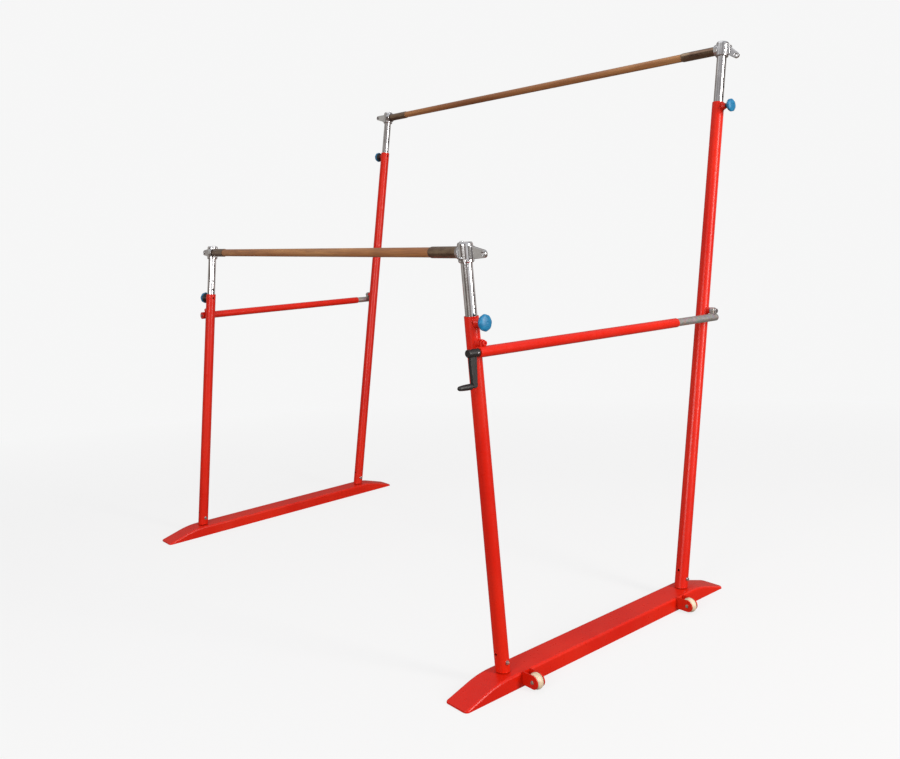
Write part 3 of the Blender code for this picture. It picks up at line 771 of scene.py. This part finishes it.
# ---- posts --------------------------------------------------------------------------------
def outer_post(side, level):
    matrix = post_frame(side, level)
    node = f"{side}_{level}_post"
    body = f"{level}_side"
    top = measured(node, matrix)[1].z
    pin_z = pin_height(side, level)
    lug_z = sum(corner.z for corner in measured(f"{side}_{level}_spreader_bolt", matrix)) / 2
    rail_low, rail_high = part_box(f"{side}_base_rail")
    foot_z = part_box(node)[0].z
    foot = -2 * POST_R
    shaft = tube(POST_R, POST_BORE_R, foot, top)
    upright = matrix.to_3x3().to_4x4().inverted()
    ground = block((4 * POST_R, 4 * POST_R, 4 * POST_R), (0, 0, foot_z - matrix.translation.z - 2 * POST_R))
    shift(ground, turn=upright)
    reach = POST_R + OVERSHOOT
    cutters = [
        rod(BOLT_R + GAP, -reach, reach, "X"),
        shift(rod(PIN_R + GAP, 0, reach, "X"), z=pin_z),
        shift(rod(HOLE_R, -reach, 0, "X"), z=pin_z),
        shift(rod(BOLT_R + GAP, 0, reach, "X"), z=lug_z),
        shift(rod(DRAIN_R, 0, reach, "Y"), y=-reach if matrix.col[1].y > 0 else 0, z=DRAIN_AT),
    ]
    cut(shaft, ground, *cutters)
    piece(shaft, f"{node}_tube", matrix, "red_paint", body, [node], "Z")

    boss_end = measured(node, matrix)[1].x
    wide, narrow = BOSS_R
    profile = [
        (PIN_R + GAP, POST_WELD_AT),
        (wide, POST_WELD_AT),
        (wide, POST_R),
        (narrow, boss_end),
        (PIN_R + GAP, boss_end),
    ]
    boss = turned(soften(profile, EDGE, closed=True), "X")
    pin_place = matrix @ Matrix.Translation((0, 0, pin_z))
    piece(boss, f"{node}_pin_boss", pin_place, "red_paint", body)
    weld = bead(saddle(POST_R, wide), BEAD_R, 22)
    piece(weld, f"{node}_pin_boss_weld", pin_place, "red_paint", body)

    lug = tube(LUG_R, BOLT_R + GAP, POST_WELD_AT, LUG_END, "X", EDGE)
    lug_place = matrix @ Matrix.Translation((0, 0, lug_z))
    piece(lug, f"{node}_spreader_lug", lug_place, "red_paint", body)
    weld = bead(saddle(POST_R, LUG_R), BEAD_R, 18)
    piece(weld, f"{node}_spreader_lug_weld", lug_place, "red_paint", body)


def pin_height(side, level):
    low, high = measured(f"{side}_{level}_knob", post_frame(side, level))
    return (low.z + high.z) / 2


def spreader_bolt(side, level):
    """Socket cap screw through the spreader's tab, its head outward, painted over at the low end."""
    matrix = post_frame(side, level)
    node = f"{side}_{level}_spreader_bolt"
    low, high = measured(node, matrix)
    z = (low.z + high.z) / 2
    head = 0.0085
    head_r = 0.0098
    start = high.x - 0.006
    screw = joined(rod(BOLT_R, low.x, start + 0.002, "X", 0.0006), rod(head_r, start, start + head, "X", 0.0010))
    socket = rod(0.0045, start + head - 0.0045, start + head + OVERSHOOT, "X", facets=6)
    cut(screw, socket)
    washer = tube(head_r * 1.18, BOLT_R * 0.9, start - 0.0012, start, "X", 0.0003, SMALL_ROUND)
    joined(screw, washer)
    place = matrix @ Matrix.Translation((0, 0, z))
    finish = "red_paint" if level == "low" else "chrome"
    piece(screw, node + "_fine", place, finish, f"{level}_side", [node])


def inner_post(side, level):
    matrix = post_frame(side, level)
    node = f"{side}_{level}_inner_post"
    low, high = measured(node, matrix)
    body = tube(INNER_R, INNER_BORE_R, low.z, high.z)
    holes = []
    reach = INNER_R + OVERSHOOT
    for step in range(-HOLES_BELOW_PIN, HOLES_ABOVE_PIN + 1):
        hole = rod(HOLE_R, -reach, reach, "X")
        holes.append(shift(hole, z=pin_height(side, level) + step * HOLE_PITCH))
    cut(body, *holes)
    piece(body, node + "_tube", matrix, "chrome", f"{level}_{side}_head", [node], "Z")


# ---- heads --------------------------------------------------------------------------------
def tongue_outline(reach, height, tip_r, root_half, root):
    """Plate from an upright root to a rounded tip, which may sit above or below the root."""
    ends = []
    for sign in (-1, 1):
        run = reach - root
        rise = height - sign * root_half
        taper = math.asin(tip_r / math.hypot(run, rise))
        ends.append(math.atan2(rise, run) + sign * (taper + math.pi / 2))
    points = [(root, -root_half)]
    steps = 20
    for step in range(steps + 1):
        angle = ends[0] + (ends[1] - ends[0]) * step / steps
        points.append((reach + tip_r * math.cos(angle), height + tip_r * math.sin(angle)))
    points.append((root, root_half))
    return points


def drum_profile(plug_end):
    """Spigot in the inner post, chamfered foot, barrel and domed top."""
    plug_r = INNER_BORE_R - GAP
    profile = [
        (0, plug_end),
        (plug_r, plug_end),
        (plug_r, -DRUM_HALF),
        (DRUM_R - DRUM_CHAMFER, -DRUM_HALF),
        (DRUM_R, -DRUM_HALF + DRUM_CHAMFER),
    ]
    width, height = DRUM_DOME
    steps = 12
    for step in range(steps + 1):
        angle = math.pi / 2 * step / steps
        radius = DRUM_R - width * (1 - math.cos(angle))
        profile.append((radius, DRUM_HALF - height * (1 - math.sin(angle))))
    profile.append((0, DRUM_HALF))
    return profile


def head(side, level):
    matrix = head_frame(side, level)
    body = f"{level}_{side}_head"
    node = f"{side}_{level}_head"
    plug_end = measured(node, post_frame(side, level))[0].z
    plug_end -= (post_frame(side, level).inverted() @ matrix.translation).z
    drum = turned(drum_profile(plug_end), "Z", 96)
    mouth, mouth_r = COLLAR_MOUTH
    root, root_r = COLLAR_ROOT
    pin_hole = rod(SWIVEL_R + GAP, -DRUM_HALF - 0.001, DRUM_HALF + OVERSHOOT)
    socket = rod(SOCKET_R, -mouth - OVERSHOOT, -SOCKET_FLOOR, "X", facets=ROUND)
    cut(drum, socket, shift(pin_hole, x=-PIN_INSET))
    piece(drum, node + "_drum", matrix, "chrome", body, [node])

    outline = [(SOCKET_R, -mouth), (mouth_r, -mouth), (root_r, -root), (SOCKET_R, -root)]
    collar = turned(soften(outline, EDGE, closed=True), "X")
    piece(collar, node + "_collar", matrix, "chrome", body)

    reach, height = EYELET_AT[side, level]
    outline = tongue_outline(reach, height, TONGUE_TIP_R, TONGUE_ROOT_HALF, DRUM_R * 0.8)
    tongue = slab(outline, TONGUE_THICKNESS)
    cut(tongue, shift(rod(EYELET_R, -OVERSHOOT, OVERSHOOT, "Y"), x=reach, z=height))
    piece(bevelled(tongue, 0.0016), node + "_tongue", matrix, "chrome", body)
    root_end = DRUM_R + 0.014
    outline = tongue_outline(root_end, height * 0.15, 0.0225, 0.0285, DRUM_R * 0.7)
    root_plate = slab(outline, TONGUE_THICKNESS + 0.010)
    cut(root_plate, block((0.05, 0.1, 0.1), (root_end + 0.025, 0, 0)))
    piece(bevelled(root_plate, 0.0020), node + "_tongue_root", matrix, "chrome", body)
    eyelet_ring(node, matrix @ Matrix.Translation((reach, 0, height)), body)
    if (side, level) == ("right", "high"):
        head_screws(node, matrix, body, (-0.023, 0.0, 0.023), -38)
    if (side, level) == ("right", "low"):
        head_screws(node, matrix, body, (-0.021,), -84)
        spring_clip(side, level)


def eyelet_ring(node, matrix, body):
    """Rolled lips round the cable eyelet, one on each face of the tongue."""
    for name, sign in (("near", -1), ("far", 1)):
        loop = []
        for step in range(48):
            angle = 2 * math.pi * step / 48
            across = EYELET_R + 0.0012
            y = sign * TONGUE_THICKNESS / 2
            loop.append(Vector((across * math.cos(angle), y, across * math.sin(angle))))
        ring = bead(loop, 0.0014)
        piece(ring, f"{node}_eyelet_{name}", matrix, "chrome", body)


def head_screws(node, matrix, body, heights, facing):
    """Domed cap screws in a column on the drum, turned from the tongue by an angle in degrees."""
    for index, z in enumerate(heights):
        profile = [
            (0, DRUM_R - 0.004),
            (CAP_SCREW_R, DRUM_R - 0.004),
            (CAP_SCREW_R, DRUM_R + 0.0026),
            (CAP_SCREW_R * 0.92, DRUM_R + 0.0046),
            (CAP_SCREW_R * 0.66, DRUM_R + 0.0066),
            (0, DRUM_R + 0.0076),
        ]
        screw = turned(soften(profile, 0.0010), "X", SMALL_ROUND)
        cut(screw, rod(0.0024, DRUM_R + 0.0045, DRUM_R + OVERSHOOT, "X", facets=6))
        turn = Matrix.Rotation(math.radians(facing), 4, "Z")
        shift(screw, z=z, turn=turn)
        piece(screw, f"{node}_screw_{index + 1}", matrix, "chrome", body)


def swivel_pin(side, level):
    matrix = head_frame(side, level) @ Matrix.Translation((-PIN_INSET, 0, 0))
    node = f"{side}_{level}_swivel_pin"
    low, high = measured(node, matrix)
    under = DRUM_HALF + GAP
    profile = [
        (0, low.z),
        (SWIVEL_R, low.z),
        (SWIVEL_R, under),
        (0.0075, under),
        (0.0075, high.z - 0.0012),
        (0.0056, high.z),
        (0, high.z),
    ]
    pin = turned(soften(profile, 0.0007), "Z", SMALL_ROUND)
    cut(pin, rod(0.0032, high.z - 0.0026, high.z + OVERSHOOT, facets=6))
    piece(pin, node + "_fine", matrix, "chrome", f"{level}_{side}_head", [node])


# ---- bars ---------------------------------------------------------------------------------
def swivel_holes(level):
    holes = []
    to_bar = bar_frame(level).inverted()
    for side, radius in (("left", 0.0053), ("right", 0.0085)):
        turn = to_bar @ head_frame(side, level) @ Matrix.Translation((-PIN_INSET, 0, 0))
        holes.append(shift(rod(radius, -2 * BAR_R, 2 * BAR_R), turn=turn))
    return holes


def bar(level):
    matrix = bar_frame(level)
    half = measured(f"{level}_bar", matrix)[1].x
    rail = rod(BAR_R, -half, half, "X", 0.0020, ROUND)
    cut(rail, *swivel_holes(level))
    piece(rail, f"{level}_bar_rail", matrix, "wood", f"{level}_bar", [f"{level}_bar"], "X")
    for side, sign in SIDES.items():
        node = f"{side}_{level}_sleeve"
        low, high = measured(node, matrix)
        inner_end, outer_end = (high.x, low.x) if side == "left" else (low.x, high.x)
        lip = inner_end + sign * SLEEVE_LIP
        bore = BAR_R + GAP
        profile = [
            (bore, inner_end),
            (bore + 0.0008, inner_end),
            (SLEEVE_R, lip),
            (SLEEVE_R, outer_end),
            (bore, outer_end),
        ]
        cover = turned(soften(profile, 0.0010, closed=True), "X")
        cut(cover, *swivel_holes(level))
        piece(cover, node + "_cover", matrix, "bronze", f"{level}_bar", [node], "X")


# ---- pull pins ----------------------------------------------------------------------------
def pull_pin(side, level):
    matrix = post_frame(side, level) @ Matrix.Translation((0, 0, pin_height(side, level)))
    name = f"{side}_{level}_"
    low, high = measured(name + "pin_barrel", matrix)
    profile = [
        (PIN_R + GAP, low.x),
        (BARREL_R, low.x),
        (BARREL_R, low.x + 0.003),
        (BARREL_R * 0.84, low.x + 0.0042),
        (BARREL_R * 0.84, high.x),
        (PIN_R + GAP, high.x),
    ]
    barrel = turned(soften(profile, 0.0006, closed=True), "X")
    piece(barrel, name + "pin_collar", matrix, "black_plastic", f"{level}_side", [name + "pin_barrel"])
    low, high = measured(name + "pull_pin", matrix)
    pin = rod(PIN_R, low.x, high.x, "X", 0.0012)
    body = f"{level}_{side}_knob"
    piece(pin, name + "pull_pin_fine", matrix, "zinc_steel", body, [name + "pull_pin"])
    low, high = measured(name + "knob", matrix)
    knob(name + "knob", matrix, body, low.x, high.x, measured(name + "pull_pin", matrix)[1].x)


def knob(node, matrix, body, face, end, pin_end):
    """Mushroom knob: a black flared neck behind a blue grip with a domed face."""
    depth = end - face
    bore = PIN_R + GAP
    split = face + depth * 0.36
    neck = [(bore, face), (BARREL_R * 0.95, face)]
    for share, out in ((0.10, 0.44), (0.22, 0.66), (0.36, 0.86)):
        neck.append((KNOB_R * out, face + depth * share))
    neck.append((bore, split))
    shape = turned(soften(neck, 0.0007, closed=True, steps=2), "X", 96)
    piece(shape, node + "_neck", matrix, "black_plastic", body)

    grip = [(0, pin_end + GAP), (bore, pin_end + GAP), (bore, split), (KNOB_R * 0.86, split)]
    grip += [
        (KNOB_R * 0.965, face + depth * 0.48),
        (KNOB_R, face + depth * 0.60),
        (KNOB_R, face + depth * 0.66),
    ]
    for step in range(1, 8):
        angle = math.pi / 2 * step / 8
        grip.append((KNOB_R * math.cos(angle), face + depth * (0.66 + 0.34 * math.sin(angle))))
    grip += [(0.0065, end - 0.0002), (0.0052, end - 0.0016), (0, end - 0.0016)]
    shape = turned(soften(grip, 0.0007, steps=2), "X", 96)
    lobes = 8
    for vertex in shape.data.vertices:
        radius = math.hypot(vertex.co.y, vertex.co.z)
        if radius > BARREL_R and vertex.co.x > split + 0.0005:
            wave = math.cos(lobes * math.atan2(vertex.co.z, vertex.co.y))
            share = 1 - 0.022 * (1 - wave) * (radius / KNOB_R) ** 3
            vertex.co.y *= share
            vertex.co.z *= share
    piece(shape, node + "_fine", matrix, "blue_plastic", body, [node])


# ---- spreaders ----------------------------------------------------------------------------
def tab(side, level, drop, soft=0.0016):
    """Strap that stands on the spreader and goes round its bolt."""
    half = TAB_HALF[level]
    start, end = TAB_X[level]
    outline = [(-half, -drop), (half, -drop)]
    steps = 20
    for step in range(steps + 1):
        angle = math.pi * step / steps
        outline.append((half * math.cos(angle), half * math.sin(angle)))
    plate = slab(outline, end - start, Matrix.Rotation(math.pi / 2, 4, "Z"))
    return shift(bevelled(plate, soft), x=SIDES[side] * (start + end) / 2)


def spreader(side):
    matrix = spreader_frame(side)
    span = (Vector(JOINTS[f"{side}_spreader_swing"]["pos_m"]) - lug_point(side, "high")).length
    drop = -measured(f"{side}_lead_screw", matrix)[0].z - 0.012
    axis = matrix @ Matrix.Translation((0, 0, -drop))
    body = f"{side}_spreader"
    node = f"{side}_spreader_tube"
    low, high = measured(node, matrix)
    wall = 0.004
    profile = [
        (SCREW_R + GAP, low.y),
        (SPREADER_R, low.y),
        (SPREADER_R, high.y),
        (SPREADER_BORE_R, high.y),
        (SPREADER_BORE_R, low.y + wall),
        (SCREW_R + GAP, low.y + wall),
    ]
    outer = turned(soften(profile, EDGE, closed=True), "Y")
    piece(outer, node + "_shell", axis, "red_paint", body, [node])
    strap = tab(side, "low", drop - SPREADER_BORE_R - 0.001)
    cut(strap, rod(BOLT_R + GAP, -SPREADER_R, SPREADER_R, "X"))
    piece(strap, node + "_strap", matrix, "red_paint", body)

    body = f"{side}_slide"
    node = f"{side}_spreader_slide"
    low, high = measured(node, matrix)
    end_round = 0.004
    profile = [
        (SLIDE_BORE_R, low.y),
        (SLIDE_R, low.y),
        (SLIDE_R, high.y - end_round),
        (SLIDE_R - end_round * 0.4, high.y),
        (0, high.y),
        (0, high.y - wall),
        (SLIDE_BORE_R, high.y - wall),
    ]
    slide = turned_open(profile, "Y")
    piece(slide, node + "_tube", axis, "zinc_steel", body, [node])
    strap = tab(side, "high", drop - SLIDE_BORE_R - 0.001)
    cut(strap, rod(0.0080, -SPREADER_R, SPREADER_R, "X"))
    shift(strap, y=span)
    piece(strap, node + "_strap", matrix, "zinc_steel", body)
    low, high = measured(f"{side}_screw_nut", axis)
    nut = tube(SLIDE_BORE_R - GAP, SCREW_R + GAP, low.y, high.y, "Y")
    piece(nut, f"{side}_screw_nut_fine", axis, "brass", body, [f"{side}_screw_nut"])


def turned_open(profile, along):
    """A cup: the profile runs from the bore's mouth round the outside and back, meeting the axis twice."""
    return turned(list(reversed(soften(profile, RIM))), along)


def lug_point(side, level):
    matrix = post_frame(side, level)
    low, high = measured(f"{side}_{level}_spreader_bolt", matrix)
    return matrix @ Vector((SPREADER_OUT, 0, (low.z + high.z) / 2))


SPREADER_OUT = 0.055              # spreader axis outward from the post axis


def lead_screw(side, body):
    """Trapezoidal thread: the radius follows the helix."""
    node = f"{side}_lead_screw"
    matrix = spreader_frame(side)
    drop = -measured(node, matrix)[0].z - 0.012
    axis = matrix @ Matrix.Translation((0, 0, -drop))
    low, high = measured(node, axis)
    facets = 16
    per_turn = 8
    count = int((high.y - low.y) / THREAD_PITCH * per_turn)
    sections = []
    for station in range(count + 1):
        y = low.y + (high.y - low.y) * station / count
        ring = []
        for facet in range(facets):
            turn = facet / facets
            phase = (y / THREAD_PITCH - turn) % 1.0
            crest = min(1.0, max(0.0, 2.0 - 4.0 * abs(phase - 0.5)))
            radius = SCREW_R - THREAD_DEPTH * (1 - crest)
            ring.append((radius * math.cos(2 * math.pi * turn), y, radius * math.sin(2 * math.pi * turn)))
        sections.append(ring)
    piece(lofted(sections), node + "_thread", axis, "zinc_steel", body, [node])


# ---- crank --------------------------------------------------------------------------------
HUB_LENGTH = 0.053
HUB_BORE = 0.0315


def crank():
    matrix = spreader_frame("right")
    drop = -measured("right_lead_screw", matrix)[0].z - 0.012
    axis = matrix @ Matrix.Translation((0, 0, -drop))
    low, high = measured("crank_arm", axis)
    hub_end = high.y
    hub_r = 0.0150
    hub_start = hub_end - HUB_LENGTH
    profile = [
        (0, hub_start),
        (hub_r * 0.92, hub_start),
        (hub_r, hub_start + 0.004),
        (hub_r, hub_end),
        (0, hub_end),
    ]
    hub = turned(soften(profile, 0.0016), "Y")
    middle = (hub_start + hub_end) / 2
    top, bottom = 0.0185, 0.012
    arm_drop = 0.118
    outline = [(-top, -0.004), (top * 0.8, -0.004), (bottom, -arm_drop)]
    steps = 12
    for step in range(1, steps):
        angle = -math.pi * step / steps
        outline.append((bottom * math.cos(angle), -arm_drop + bottom * math.sin(angle) * 0.6))
    outline += [(-bottom, -arm_drop), (-top, -0.040)]
    arm = slab(outline, 0.015, Matrix.Rotation(math.pi / 2, 4, "Z"))
    joined(hub, shift(bevelled(arm, 0.0032, 4), y=middle))
    cut(hub, rod(SCREW_R + GAP, hub_end - HUB_BORE, hub_end + OVERSHOOT, "Y"))
    piece(hub, "crank_arm_moulding", axis, "black_plastic", "crank", ["crank_arm"])
    cross_pin = rod(0.0040, hub_r * 0.7, hub_r + 0.0012, "X", 0.0010)
    piece(shift(cross_pin, y=hub_end - 0.010), "crank_cross_pin", axis, "chrome", "crank")

    low, high = measured("crank_grip", axis)
    face = high.y
    length = high.y - low.y
    arm_face = middle - bottom
    stud_r = 0.004
    stud = rod(stud_r, low.y + 0.009, arm_face + 0.001, "Y", 0.0006)
    piece(shift(stud, z=-arm_drop), "crank_grip_stud", axis, "zinc_steel", "crank")
    profile = [
        (stud_r + GAP, 0),
        (0.0106, 0),
        (0.0114, length * 0.06),
        (0.0112, length * 0.35),
        (0.0100, length * 0.70),
        (0.0084, length * 0.92),
        (0.0050, length),
        (0, length),
        (0, length - 0.008),
        (stud_r + GAP, length - 0.008),
    ]
    grip = turned(list(reversed(soften(profile, 0.0030))), "Y", SMALL_ROUND)
    shift(grip, y=face, z=-arm_drop, turn=Matrix.Rotation(math.pi, 4, "Z"))
    piece(grip, "crank_grip_fine", axis, "black_plastic", "grip", ["crank_grip"])


# ---- transport wheels ---------------------------------------------------------------------
def transport_wheel(level):
    matrix = Matrix.Translation(JOINTS[f"{level}_end_wheel_spin"]["pos_m"])
    node = f"{level}_end_wheel"
    low, high = measured(node, matrix)
    half = high.y
    radius = high.z
    bore = 0.0043
    profile = [(bore, -half), (0.011, -half), (0.0125, -half + 0.0022), (0.018, -half + 0.0022)]
    steps = 14
    for step in range(steps + 1):
        angle = -math.pi / 2 + math.pi * step / steps
        profile.append((0.0195 + (radius - 0.0195) * math.cos(angle), half * math.sin(angle)))
    profile += [(0.018, half - 0.0022), (0.0125, half - 0.0022), (0.011, half), (bore, half)]
    tread = turned(soften(profile, 0.0008, closed=True), "Y")
    piece(tread, node + "_tread", matrix, "cream_nylon", node, [node])

    fork = node + "_fork"
    low, high = measured(fork, matrix)
    sheet = 0.004
    cheek_r = 0.024
    cheeks = []
    outline = [(low.x, -cheek_r)]
    steps = 20
    for step in range(steps + 1):
        angle = -math.pi / 2 + math.pi * step / steps
        outline.append((cheek_r * math.cos(angle), cheek_r * math.sin(angle)))
    outline.append((low.x, cheek_r))
    for sign in (-1, 1):
        cheek = slab(outline, sheet)
        cheeks.append(shift(cheek, y=sign * (high.y - sheet / 2)))
    back = block((sheet, high.y - low.y, 2 * cheek_r), (low.x + sheet / 2, 0, 0))
    joined(back, *cheeks)
    cut(back, rod(bore, 2 * low.y, 2 * high.y, "Y"))
    piece(bevelled(back, 0.0010), fork + "_bracket", matrix, "red_paint", "bases", [fork])
    quarter = matrix @ Matrix.Rotation(-math.pi / 2, 4, "Z")
    span = (low.y - GAP, high.y + GAP)
    bolt_piece(node + "_axle", quarter, "bases", span, 0.0040, 0.0056, 0.0036, True, "zinc_steel")


# ---- small fittings on the heads ----------------------------------------------------------
def spring_clip(side, level):
    """Ring pin low in the drum's front, with its wire ring hanging from it."""
    matrix = head_frame(side, level)
    body = f"{level}_{side}_head"
    name = f"{side}_{level}_clip"
    reach = DRUM_R + 0.009
    place = matrix @ Matrix.Translation((0, 0, 0.012 - DRUM_HALF))
    place = place @ Matrix.Rotation(math.radians(CLIP_FACING), 4, "Z")
    pin = rod(0.0028, DRUM_R - 0.004, reach, "X", 0.0008)
    piece(pin, name + "_pin", place, "chrome", body)
    loop = []
    steps = 64
    for step in range(steps):
        angle = 2 * math.pi * step / steps
        loop.append(Vector((reach - 0.003, 0.0085 * math.sin(angle), 0.0185 * (math.cos(angle) - 0.9))))
    piece(bead(loop, 0.0011), name + "_ring", place, "chrome", body)


# ---- building everything ------------------------------------------------------------------
for side_name in SIDES:
    base_rail(side_name)
    for level_name in LEVELS:
        outer_post(side_name, level_name)
        spreader_bolt(side_name, level_name)
        inner_post(side_name, level_name)
        head(side_name, level_name)
        swivel_pin(side_name, level_name)
        pull_pin(side_name, level_name)
    spreader(side_name)
lead_screw("left", "left_screw")
lead_screw("right", "crank")
crank()
for level_name in LEVELS:
    bar(level_name)
    transport_wheel(level_name)


# ---- stage --------------------------------------------------------------------------------
def emission(tree, colour, strength):
    node = tree.nodes.new("ShaderNodeEmission")
    node.inputs["Color"].default_value = (*colour, 1.0)
    node.inputs["Strength"].default_value = strength
    return node.outputs[0]


def floor():
    """Pale studio floor: nearly even to the eye, duller in reflections, with soft shadows."""
    bm = bmesh.new()
    bmesh.ops.create_grid(bm, x_segments=1, y_segments=1, size=7)
    ground = to_object(bm)
    ground.name = "floor"
    ground.location.z = -0.0005
    material = bpy.data.materials.new("floor")
    material.use_nodes = True
    tree = material.node_tree
    tree.nodes.clear()
    diffuse = tree.nodes.new("ShaderNodeBsdfDiffuse")
    diffuse.inputs["Color"].default_value = (0.9, 0.9, 0.9, 1.0)
    even = tree.nodes.new("ShaderNodeMixShader")
    far = tree.nodes.new("ShaderNodeMapRange")
    for socket, value in zip(far.inputs[1:5], (6.5, 9.0, 0.84, 1.0)):
        socket.default_value = value
    tree.links.new(tree.nodes.new("ShaderNodeCameraData").outputs["View Distance"], far.inputs[0])
    tree.links.new(far.outputs[0], even.inputs[0])
    tree.links.new(diffuse.outputs[0], even.inputs[1])
    tree.links.new(emission(tree, (1, 1, 1), BACKGROUND), even.inputs[2])
    path = tree.nodes.new("ShaderNodeLightPath")
    seen = tree.nodes.new("ShaderNodeMixShader")
    tree.links.new(path.outputs["Is Camera Ray"], seen.inputs[0])
    tree.links.new(emission(tree, (0.50, 0.40, 0.35), 0.42), seen.inputs[1])
    tree.links.new(even.outputs[0], seen.inputs[2])
    output = tree.nodes.new("ShaderNodeOutputMaterial")
    tree.links.new(seen.outputs[0], output.inputs["Surface"])
    ground.data.materials.append(material)


def surroundings():
    """Even background for the camera; a room with bright and dark bands for everything else."""
    world = bpy.data.worlds.new("studio")
    bpy.context.scene.world = world
    world.use_nodes = True
    tree = world.node_tree
    tree.nodes.clear()
    where = tree.nodes.new("ShaderNodeTexCoord")
    parts = tree.nodes.new("ShaderNodeSeparateXYZ")
    tree.links.new(where.outputs["Generated"], parts.inputs[0])
    azimuth = tree.nodes.new("ShaderNodeMath")
    azimuth.operation = "ARCTAN2"
    tree.links.new(parts.outputs["Y"], azimuth.inputs[0])
    tree.links.new(parts.outputs["X"], azimuth.inputs[1])
    share = tree.nodes.new("ShaderNodeMapRange")
    share.inputs["From Min"].default_value = -math.pi
    share.inputs["From Max"].default_value = math.pi
    tree.links.new(azimuth.outputs[0], share.inputs[0])
    bands = tree.nodes.new("ShaderNodeValToRGB")
    bands.color_ramp.interpolation = "EASE"
    tree.links.new(share.outputs[0], bands.inputs[0])
    marks = bands.color_ramp.elements
    walls = (
        (0.00, (0.30, 0.27, 0.25)),
        (0.12, (0.55, 0.52, 0.48)),
        (0.20, (0.10, 0.07, 0.06)),
        (0.29, (0.50, 0.46, 0.42)),
        (0.36, (0.16, 0.12, 0.11)),
        (0.43, (0.75, 0.73, 0.72)),
        (0.50, (0.95, 0.95, 0.97)),
        (0.57, (0.35, 0.32, 0.30)),
        (0.63, (0.12, 0.09, 0.08)),
        (0.74, (0.60, 0.58, 0.56)),
        (0.88, (0.20, 0.16, 0.15)),
        (1.00, (0.30, 0.27, 0.25)),
    )
    while len(marks) < len(walls):
        marks.new(0.5)
    for mark, (position, colour) in zip(marks, walls):
        mark.position = position
        mark.color = (*colour, 1.0)
    overhead = tree.nodes.new("ShaderNodeMapRange")
    overhead.interpolation_type = "SMOOTHSTEP"
    overhead.inputs["From Min"].default_value = 0.25
    overhead.inputs["From Max"].default_value = 0.85
    tree.links.new(parts.outputs["Z"], overhead.inputs[0])
    room = tree.nodes.new("ShaderNodeMix")
    room.data_type = "RGBA"
    tree.links.new(overhead.outputs[0], room.inputs[0])
    tree.links.new(bands.outputs[0], room.inputs[6])
    room.inputs[7].default_value = (0.55, 0.55, 0.57, 1.0)
    lighting = tree.nodes.new("ShaderNodeBackground")
    tree.links.new(room.outputs[2], lighting.inputs["Color"])
    lighting.inputs["Strength"].default_value = 1.0
    plain = tree.nodes.new("ShaderNodeBackground")
    plain.inputs["Color"].default_value = (1, 1, 1, 1)
    plain.inputs["Strength"].default_value = BACKGROUND
    path = tree.nodes.new("ShaderNodeLightPath")
    seen = tree.nodes.new("ShaderNodeMixShader")
    tree.links.new(path.outputs["Is Camera Ray"], seen.inputs[0])
    tree.links.new(lighting.outputs[0], seen.inputs[1])
    tree.links.new(plain.outputs[0], seen.inputs[2])
    output = tree.nodes.new("ShaderNodeOutputWorld")
    tree.links.new(seen.outputs[0], output.inputs["Surface"])


def softbox(name, location, target, size, power, colour=(1, 1, 1)):
    lamp = bpy.data.lights.new(name, "AREA")
    lamp.shape = "RECTANGLE"
    lamp.size, lamp.size_y = size
    lamp.energy = power
    lamp.color = colour
    holder = bpy.data.objects.new(name, lamp)
    holder.location = location
    holder.rotation_euler = (Vector(target) - Vector(location)).to_track_quat("-Z", "Y").to_euler()
    bpy.context.scene.collection.objects.link(holder)


def shift_here_only(lens, channel, shifted, holder):
    """The lens is shifted at this viewpoint and centred at any other, so no view is cut off."""
    driver = lens.driver_add(channel).driver
    place = driver.variables.new()
    place.name = "x"
    place.type = "TRANSFORMS"
    place.targets[0].id = holder
    place.targets[0].transform_type = "LOC_X"
    driver.expression = f"{shifted} if abs(x - {CAMERA_AT[0]}) < 0.01 else 0.0"


def camera():
    """Eye height, off the right frame's low end, looking along the low bar."""
    ahead = Vector(
        (
            -math.cos(CAMERA_YAW) * math.cos(CAMERA_PITCH),
            math.sin(CAMERA_YAW) * math.cos(CAMERA_PITCH),
            math.sin(CAMERA_PITCH),
        )
    )
    level_right = ahead.cross(Vector((0, 0, 1))).normalized()
    level_up = level_right.cross(ahead)
    right = level_right * math.cos(CAMERA_ROLL) + level_up * math.sin(CAMERA_ROLL)
    up = right.cross(ahead)
    lens = bpy.data.cameras.new("camera")
    lens.lens = CAMERA_LENS
    holder = bpy.data.objects.new("camera", lens)
    holder.matrix_world = axes(right, up, -ahead, Vector(CAMERA_AT))
    bpy.context.scene.collection.objects.link(holder)
    bpy.context.scene.camera = holder
    for channel, shifted in zip(("shift_x", "shift_y"), CAMERA_SHIFT):
        shift_here_only(lens, channel, shifted, holder)


floor()
surroundings()
softbox("key", (6.0, 1.2, 2.6), (0.3, 0.0, 1.2), (1.1, 4.2), 260, (1.0, 0.96, 0.92))
softbox("front", (2.6, -6.0, 2.6), (0.2, 0.0, 0.9), (2.6, 2.2), 170)
softbox("top", (0.0, -0.5, 5.5), (0.0, 0.0, 0.5), (4.0, 4.0), 35)
camera()
bpy.context.scene.view_settings.view_transform = "Standard"
